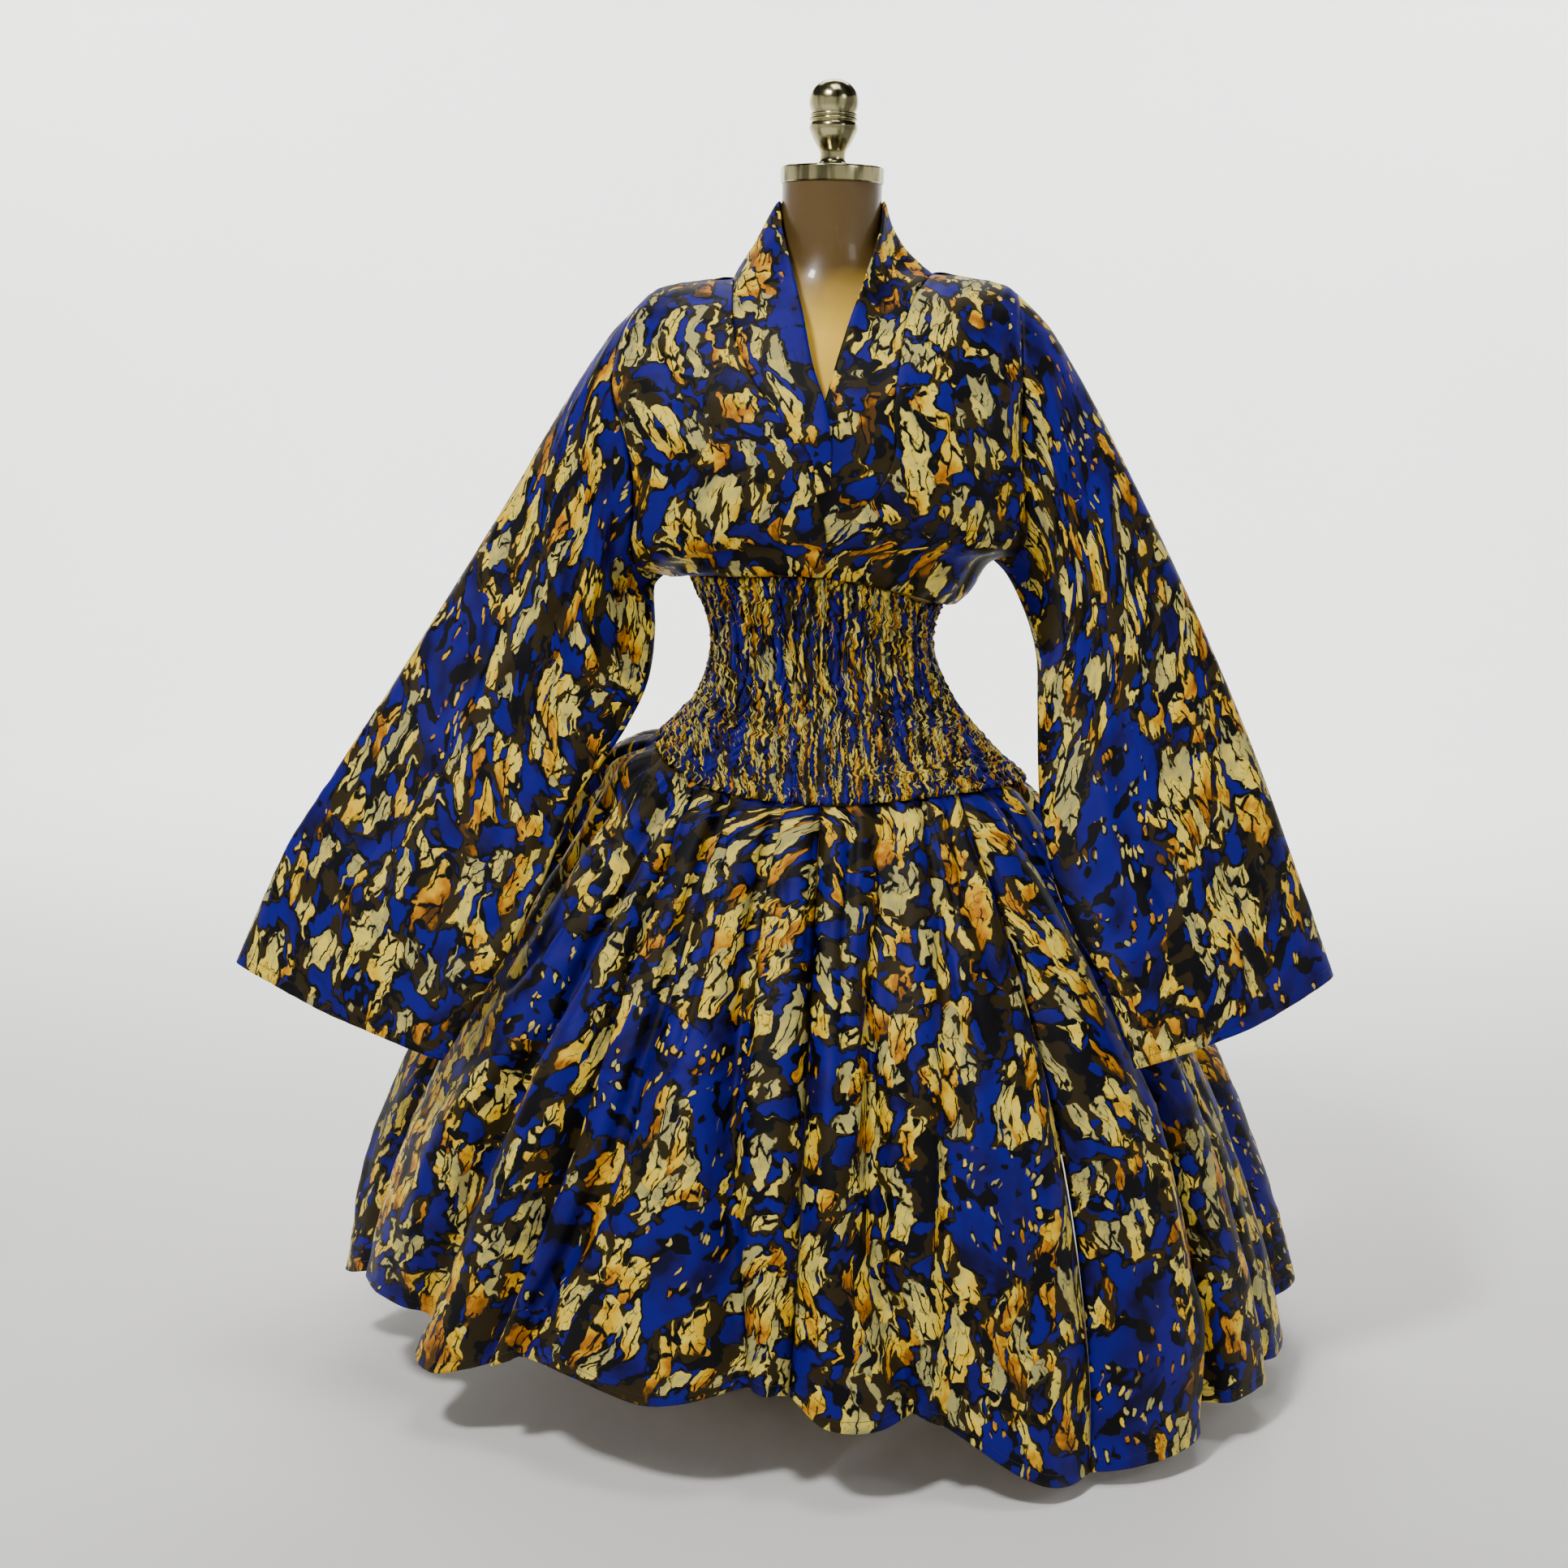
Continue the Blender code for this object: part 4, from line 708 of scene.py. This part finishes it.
SKIRT = {  # outward direction, place in the printed cloth, creases
    "skirt_right_front": ((-1, -1, 0), (0.10, 1.30), [
        (6, 1, 4, 30, 6, 3.3), (13, 1, 10, 46, 7, -3.9), (22, 1, 20, 28, 5, 3), (30, 1, 26, 55, 7, -4.2),
        (38, 1, 36, 32, 5, 3.3), (47, 1, 44, 62, 8, 3.9), (55, 1, 53, 26, 5, -3.3), (64, 1, 62, 42, 6, 3.6),
        (72, 1, 71, 60, 6, -3.9), (80, 1, 79, 30, 5, 3), (90, 1, 89, 48, 6, -3.6), (42, 40, 37, 97, 12, 5.1),
        (66, 45, 64, 96, 11, -4.2), (16, 40, 13, 95, 13, 4.5)]),
    "skirt_centre_left_front": ((0.3, -1, 0), (0.55, 1.12), [
        (10, 1, 9, 30, 5, 3), (22, 1, 20, 52, 6, -3.9), (34, 1, 33, 26, 5, 3.3), (48, 1, 46, 58, 6, 3.9),
        (60, 1, 59, 30, 5, -3), (74, 1, 72, 44, 6, 3.6), (87, 1, 86, 34, 5, -3.3), (30, 42, 27, 97, 11, 4.5),
        (68, 38, 66, 95, 12, -4.5)]),
    "skirt_left_side_front": ((1, -1, 0), (2.71, 1.33), [
        (10, 1, 11, 36, 5, 3.3), (23, 1, 25, 52, 6, -3.9), (36, 1, 37, 28, 5, 3), (50, 1, 53, 60, 7, 3.9),
        (64, 1, 65, 34, 5, -3.3), (77, 1, 80, 50, 6, 3.6), (90, 1, 91, 30, 5, -3), (34, 44, 37, 96, 12, 4.8),
        (72, 42, 75, 96, 11, -4.2)]),
    "skirt_left_back": ((1, 1, 0), (1.45, 1.27), [
        (7, 1, 6, 34, 5, 3.3), (17, 1, 15, 50, 6, -3.6), (28, 1, 27, 30, 5, 3), (38, 1, 37, 56, 7, -3.9),
        (50, 1, 50, 36, 6, 3.6), (61, 1, 61, 50, 6, 3.6), (72, 1, 73, 28, 5, -3), (83, 1, 85, 46, 6, -3.6),
        (93, 1, 94, 34, 5, 3), (30, 42, 28, 96, 12, 4.5), (66, 44, 67, 96, 12, -4.2)]),
    "skirt_right_back": ((-1, 1, 0), (2.05, 1.36), [
        (6, 1, 5, 32, 5, -3.3), (16, 1, 14, 52, 6, 3.9), (27, 1, 26, 30, 5, 3), (37, 1, 36, 48, 7, -3.6),
        (48, 1, 48, 34, 5, 3.3), (58, 1, 58, 58, 6, 3.9), (70, 1, 70, 28, 5, -3), (81, 1, 83, 50, 6, -3.9),
        (92, 1, 93, 36, 5, 3.3), (24, 42, 22, 96, 12, -4.2), (64, 40, 65, 96, 12, 4.8)]),
}
WAIST = {"waist_front": ((0, -1, 0), (0.20, 0.62)), "waist_back": ((0, 1, 0), (1.35, 0.71))}
BODICE = {
    "bodice_right_front": ((-0.4, -1, 0), (0.07, 0.33), [
        (10, 22, 55, 46, 12, -3), (12, 36, 60, 60, 13, 3.2), (10, 52, 52, 76, 12, -3), (12, 70, 46, 88, 10, 2.8),
        (74, 66, 66, 99, 8, 2.8), (60, 74, 56, 99, 7, -2.6), (45, 76, 42, 99, 7, 2.6), (32, 78, 30, 99, 6, -2.2),
        (86, 76, 84, 99, 6, -2.4)]),
    "bodice_left_front": ((0.4, -1, 0), (0.61, 0.27), [
        (90, 22, 50, 46, 12, -3), (88, 38, 44, 62, 13, 3.2), (90, 54, 52, 76, 12, -3), (88, 72, 58, 88, 10, 2.8),
        (30, 68, 37, 99, 8, 2.8), (44, 74, 48, 99, 7, -2.6), (58, 76, 60, 99, 7, 2.6), (72, 78, 73, 99, 6, -2.2),
        (16, 76, 20, 99, 6, -2.4)]),
    "bodice_back": ((0, 1, 0), (1.12, 0.47), [
        (14, 22, 42, 42, 12, -2.8), (86, 24, 58, 45, 12, -2.8), (12, 44, 36, 62, 12, 2.6), (88, 46, 64, 64, 12, 2.6),
        (22, 66, 26, 99, 8, 2.6), (36, 72, 37, 99, 7, -2.4), (50, 68, 49, 99, 8, 2.6), (64, 72, 62, 99, 7, -2.4),
        (78, 66, 74, 99, 8, 2.6)]),
}
NECKBAND = {
    "neckband_right": ((-0.3, -1, 0), (1.62, 0.55), [(10, 50, 90, 52, 6, -0.8)]),
    "neckband_left": ((0.3, -1, 0), (1.78, 0.21), [(10, 45, 90, 47, 6, -0.8)]),
}
SLEEVES = {
    "sleeve_right_front": ((0, -1, 0), (0.33, 0.87), [
        (18, 3, 42, 34, 14, 3.6), (42, 2, 60, 30, 12, -3.4), (68, 3, 84, 26, 11, 3.2), (80, 12, 50, 30, 12, -3),
        (22, 30, 28, 80, 17, -3.8), (52, 36, 50, 97, 16, 4), (80, 34, 72, 92, 14, -3.4),
        (12, 55, 16, 97, 14, 3.2)]),
    "sleeve_right_back": ((0, 1, 0), (0.83, 0.95), [
        (25, 3, 40, 38, 14, 3.4), (52, 2, 60, 34, 12, -3.2), (76, 4, 66, 30, 11, 3), (35, 36, 30, 88, 16, -3.6),
        (65, 38, 62, 97, 15, 3.8), (86, 45, 84, 96, 13, -3)]),
    "sleeve_left_front": ((0, -1, 0), (2.44, 0.83), [
        (82, 3, 60, 34, 14, 3.6), (58, 2, 42, 30, 12, -3.4), (32, 3, 18, 28, 11, 3.2), (20, 14, 50, 30, 12, -3),
        (76, 30, 72, 82, 17, -3.8), (46, 36, 50, 97, 16, 4), (20, 36, 28, 92, 14, -3.4),
        (88, 52, 86, 97, 14, 3.2)]),
    "sleeve_left_back": ((0, 1, 0), (1.88, 0.91), [
        (75, 3, 62, 38, 14, 3.4), (46, 2, 40, 34, 12, -3.2), (24, 4, 32, 30, 11, 3), (66, 38, 70, 88, 16, -3.6),
        (36, 38, 38, 97, 15, 3.8), (14, 45, 16, 96, 13, -3)]),
}


class DRESS_OT_materials(bpy.types.Operator):
    """Make the cloth, thread, lacquer, brass, paint and paper."""

    bl_idname = "dress.materials"
    bl_label = "Materials"

    def execute(self, context):
        cotton_material()
        plain_finishes()
        return {"FINISHED"}


def skirt_gathers(grid, place):
    """Heights of the uneven gathers that run down from the top of a skirt panel and fade out."""
    down, across = arc(grid, 0), arc(grid, 1)[:1]
    turn = math.pi * across / SKIRT_GATHER + SKIRT_UNEVEN[0] * np.sin(across / SKIRT_UNEVEN[1] + place[0])
    turn = turn + SKIRT_SWAY[0] * np.sin(down / SKIRT_SWAY[1])
    fade = np.exp(-(down / SKIRT_GATHER_END) ** 1.6) * (1 - np.exp(-down / SKIRT_GATHER_START))
    return fade * (SKIRT_SWELL - SKIRT_GATHER_DEPTH * np.exp(-(np.sin(turn) / SKIRT_GATHER_WIDTH) ** 2))


class DRESS_OT_skirt(bpy.types.Operator):
    """Lay the five panels of the skirt, gathered at the top; turn up and stitch their hem."""

    bl_idname = "dress.skirt"
    bl_label = "Skirt"

    def execute(self, context):
        hems = lay_pieces(SKIRT, "hung", shape=skirt_gathers, hem=True)
        stitch_lines("skirt_hem_stitches", [row_above_edge(grid) for grid in hems],
                     context.scene.dress_cloth.stitch)
        return {"FINISHED"}


class DRESS_OT_waist(bpy.types.Operator):
    """Lay the shirred waist, drawn in by rows of elastic thread."""

    bl_idname = "dress.waist"
    bl_label = "Waist"

    def execute(self, context):
        cloth = context.scene.dress_cloth
        rows = []
        for node, (outward, place) in WAIST.items():
            coarse = solid_grid(node, outward)
            columns = WAIST_COLUMNS * (coarse.shape[1] - 1)
            grid = finer(coarse, WAIST_SPACING, arc(coarse, 1)[:, -1].max() / columns)
            down = arc(grid, 0)
            count = round(down[-1].mean() / cloth.elastic)
            band = down / down[-1] * count  # how many rows of elastic lie above each point

            # each puff between two rows of elastic has its own size
            rng = np.random.default_rng(len(node))
            puffs = rng.uniform(*PUFF_SIZES, (count + 1, grid.shape[1] // PUFF_COLUMNS + 2))
            which = np.clip(band.astype(int), 0, count)
            gather = np.linspace(0, puffs.shape[1] - 1.001, grid.shape[1])[None, :]
            low = gather.astype(int)
            share = (gather - low) ** 2 * (3 - 2 * (gather - low))
            size = puffs[which, low] * (1 - share) + puffs[which, low + 1] * share
            loose = 0.55 + 0.55 * down / down[-1]
            puff = WAIST_PUFF * loose * size * np.abs(np.sin(math.pi * band)) ** WAIST_SHARP

            # narrow ridges run down through all rows and sway a little
            sway = 1.3 * np.sin(down / 0.017 + 40 * grid[:, :, 0]) + 0.9 * np.sin(down / 0.031)
            ridges = np.abs(np.sin(math.pi * arc(grid, 1) / cloth.gather + 0.5 * sway))
            ridges = 1 - 2 * ridges ** WAIST_SHARP
            laid = cloth_piece(node, grid, [], place, "gathered", ("left", "right"), across_scale=cloth.fullness,
                               drawn_in=PRINT_SQUEEZE, extra=puff - WAIST_SINK - WAIST_RIDGE * ridges)
            out = outward_of(laid)
            for i in range(1, count):
                row = int(np.argmin(np.abs(band[:, 0] - i)))
                rows.append((laid[row], out[row]))
        stitch_lines("waist_elastic_stitches", rows, cloth.stitch * ELASTIC_STITCH)
        return {"FINISHED"}


class DRESS_OT_bodice(bpy.types.Operator):
    """Lay the two crossed fronts and the back of the bodice."""

    bl_idname = "dress.bodice"
    bl_label = "Bodice"

    def execute(self, context):
        lay_pieces(BODICE, "stretched", 0.8)
        return {"FINISHED"}


class DRESS_OT_neckband(bpy.types.Operator):
    """Lay the two halves of the folded neckband."""

    bl_idname = "dress.neckband"
    bl_label = "Neckband"

    def execute(self, context):
        for node, seam, free in (("neckband_right", "left", "right"), ("neckband_left", "right", "left")):
            lay_pieces({node: NECKBAND[node]}, "folded", 0.6, sides=(seam, "top"), fold=(free,), layers=BAND_LAYERS)
        return {"FINISHED"}


class DRESS_OT_sleeves(bpy.types.Operator):
    """Lay the fronts and backs of both wide sleeves, turn up and stitch their cuffs."""

    bl_idname = "dress.sleeves"
    bl_label = "Sleeves"

    def execute(self, context):
        cuffs = lay_pieces(SLEEVES, "hung", hem=True)
        stitch_lines("cuff_stitches", [row_above_edge(grid) for grid in cuffs], context.scene.dress_cloth.stitch)
        return {"FINISHED"}


FORM_SECTIONS = [  # height, half width, depth to the front, depth to the back, in mm
    (500, 138, 104, 120), (530, 150, 113, 130), (570, 157, 117, 132), (610, 155, 114, 124), (640, 144, 107, 111),
    (670, 128, 98, 96), (700, 112, 92, 85), (725, 105, 90.5, 81.5), (745, 105, 91, 81), (770, 107, 93, 82),
    (800, 117, 99, 87), (840, 129, 114, 92), (880, 139, 126, 96), (915, 144, 127, 98), (950, 149, 119, 99),
    (990, 157, 106, 98), (1025, 163, 93, 90), (1050, 161, 82, 80), (1070, 146, 74, 71), (1086, 112, 67, 64),
    (1098, 79, 61, 59), (1112, 60, 56, 54.5), (1130, 51.5, 51.5, 51), (1155, 49.5, 49.5, 49.5), (1195, 49, 49, 49),
]
# outlines: radius and height above the bottom in mm, a list for each stretch
CAP = smooth_outline((50, 0), [[(51, 1.2)], [(51, 13.5)], [(50.6, 15), (49.2, 16)], [(20, 16.8)]], 5, 1.1953)
FINIAL = smooth_outline((16.5, 0), [
    [(16.5, 2.2)], [(13.8, 3.4), (12.8, 5)],
    [(12.2, 9), (12.6, 13.5), (16, 19.5), (21.5, 30), (23.8, 36.5), (23, 40.2), (21.4, 42)],
    [(21.4, 42.7)], [(23, 43.4), (23.4, 44.5), (23, 45.6), (21.4, 46.3)],
    [(21.4, 47)], [(22.6, 47.7), (22.9, 48.7), (22.6, 49.7), (21.2, 50.4)],
    [(21.2, 51.1)], [(23.2, 55), (24.2, 60.5), (22.6, 69), (17.2, 76.5), (9, 81.2), (0.4, 82.4)],
], 14, 1.2124)
BASE = smooth_outline((139.5, 0), [[(140, 8)], [(134, 12)], [(31, 12)], [(26.2, 30)], [(13.5, 30)]], 1)
POLE = smooth_outline((12.5, 30.3), [[(12.5, 499.7)]], 1)
BRASS, PAINT = ("polished_turned_brass", "polished_brass"), ("powder_coated_steel", "stand_paint")
TURNED = [  # name, node, outline, segments, material and slot, bevel
    ("form_neck_cap_brass", "form_neck_cap", CAP, 128, BRASS, 0.0),
    ("form_finial_brass", "form_finial", FINIAL, 96, BRASS, 0.0),
    ("stand_base_plate", "stand_base", BASE, 128, PAINT, 0.0008),
    ("stand_pole_tube", "stand_pole", POLE, 48, PAINT, 0.0006),
]


def half_of_ring(piece, height, side):
    """Select the points of the ring at a height: those on one side of the X axis, or all of them."""
    edited = bmesh.from_edit_mesh(piece.data)
    for vertex in edited.verts:
        vertex.select_set(bool(abs(vertex.co.z - height) < 1e-5 and vertex.co.y * side >= 0))
    edited.select_flush(True)
    bmesh.update_edit_mesh(piece.data)


class DRESS_OT_torso(bpy.types.Operator):
    """Model the torso of the form with its neck, ring by ring."""

    bl_idname = "dress.torso"
    bl_label = "Torso"

    def execute(self, context):
        sections = np.array(FORM_SECTIONS) / 1000
        heights = np.linspace(sections[0, 0], sections[-1, 0], TORSO_RINGS)
        rings = spline_weights(sections[:, 0], heights) @ sections
        torso = raised_rings("form_torso_shell", [(1.0, heights[0])], TORSO_SEGMENTS)
        bpy.ops.object.mode_set(mode="OBJECT")
        bpy.ops.object.transform_apply(location=True, rotation=True, scale=True)
        bpy.ops.object.mode_set(mode="EDIT")
        before = (heights[0], 1.0, 1.0, 1.0)
        for z, wide, front, back in rings:
            if z > before[0]:
                bpy.ops.mesh.extrude_region_move(TRANSFORM_OT_translate={"value": (0, 0, z - before[0])})
            bpy.ops.transform.resize(value=(wide / before[1], 1, 1), center_override=(0, 0, z))
            for side, now, then in ((-1, front, before[2]), (1, back, before[3])):
                half_of_ring(torso, z, side)
                bpy.ops.transform.resize(value=(1, now / then, 1), center_override=(0, 0, z))
            half_of_ring(torso, z, 0)
            before = (z, wide, front, back)
        finish_hard(torso, "form_torso", "lacquered_moulded_shell", "moulded_torso", crisp=50)
        return {"FINISHED"}


class DRESS_OT_stand(bpy.types.Operator):
    """Turn the neck cap, the finial, the base and the pole."""

    bl_idname = "dress.stand"
    bl_label = "Cap, finial and stand"

    def execute(self, context):
        for name, node, outline, segments, finish, bevel in TURNED:
            finish_hard(raised_rings(name, outline, segments), node, *finish, crisp=38, bevel=bevel)
        return {"FINISHED"}


STUDIO_LIGHTS = [  # name, place, what it is aimed at, width in metres, watts
    ("key", (-1.25, -1.9, 3.4), (0, 0, 0.85), 0.45, 92), ("fill", (2.2, -1.9, 2.4), (0, 0, 0.7), 0.8, 9),
    ("top", (0.2, -0.5, 3.6), (0, 0, 0.5), 1.0, 26), ("sweep_left", (-1.9, 2.6, 3), (-0.6, 5.4, 0.9), 1.6, 170),
    ("sweep_right", (1.9, 2.6, 3), (0.6, 5.4, 0.9), 1.6, 170), ("floor", (0, 2.2, 3), (0, 2.6, 0), 2.0, 60),
]


class DRESS_OT_stage(bpy.types.Operator):
    """Set the floor, the light and the camera."""

    bl_idname = "dress.stage"
    bl_label = "Studio"

    def execute(self, context):
        studio = context.scene.dress_studio
        outline = [(SWEEP_RADIUS + SWEEP_BEND * math.sin(turn), SWEEP_BEND * (1 - math.cos(turn)) - SWEEP_GAP)
                   for turn in np.radians(np.linspace(0, 90, 13))]
        outline.append((outline[-1][0], outline[-1][1] + SWEEP_WALL))
        sweep = raised_rings("paper_sweep", outline, 96)
        bpy.ops.mesh.delete(type="ONLY_FACE")
        bpy.ops.object.mode_set(mode="OBJECT")
        bpy.ops.object.shade_smooth()
        sweep.data.materials.append(bpy.data.materials["matt_paper_sweep"])

        air = context.scene.world = bpy.data.worlds.new("studio_air")
        air.use_nodes = True
        wire(air.node_tree.nodes["Background"], {"Color": (1.0, 1.0, 1.0, 1.0), "Strength": AIR_LIGHT})
        for name, spot, target, size, power in STUDIO_LIGHTS:
            lamp = bpy.data.lights.new(name, "AREA")
            lamp.size, lamp.energy = size, power
            holder = linked(name, lamp)
            aim = Vector(target) - Vector(spot)
            holder.matrix_world = Matrix.Translation(spot) @ aim.to_track_quat("-Z", "Y").to_matrix().to_4x4()
            holder.visible_camera = False

        lens = bpy.data.cameras.new("camera")
        lens.lens = studio.lens
        camera = linked("camera", lens)
        turn = Matrix.Rotation(math.radians(90) + studio.tilt, 4, "X") @ Matrix.Rotation(studio.roll, 4, "Z")
        camera.matrix_world = Matrix.Translation((studio.offset, -studio.distance, studio.height)) @ turn
        context.scene.camera = camera
        return {"FINISHED"}


OPERATORS = (DRESS_OT_materials, DRESS_OT_skirt, DRESS_OT_waist, DRESS_OT_bodice, DRESS_OT_neckband,
             DRESS_OT_sleeves, DRESS_OT_torso, DRESS_OT_stand, DRESS_OT_stage)


class VIEW3D_PT_dress(bpy.types.Panel):
    """Lists the settings and the steps that make the dress."""

    bl_idname = "VIEW3D_PT_dress"
    bl_label = "Kimono dress"
    bl_space_type = "VIEW_3D"
    bl_region_type = "UI"
    bl_category = "Dress"

    def draw(self, context):
        for group in SETTINGS:
            box = self.layout.box()
            for name in SETTINGS[group].__annotations__:
                box.prop(getattr(context.scene, group), name)
        for operator in OPERATORS:
            self.layout.operator(operator.bl_idname)


CLASSES = (*SETTINGS.values(), *OPERATORS, VIEW3D_PT_dress)


def register():
    """Register the classes and hang the settings on the scene."""
    for kind in CLASSES:
        bpy.utils.register_class(kind)
    for name, kind in SETTINGS.items():
        setattr(bpy.types.Scene, name, bpy.props.PointerProperty(type=kind))


def unregister():
    """Take the settings and the classes away again."""
    for name in SETTINGS:
        delattr(bpy.types.Scene, name)
    for kind in reversed(CLASSES):
        bpy.utils.unregister_class(kind)


def main():
    """Make every piece in order."""
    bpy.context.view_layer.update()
    register()
    for operator in OPERATORS:
        group, name = operator.bl_idname.split(".")
        getattr(getattr(bpy.ops, group), name)()


if __name__ == "__main__":
    main()
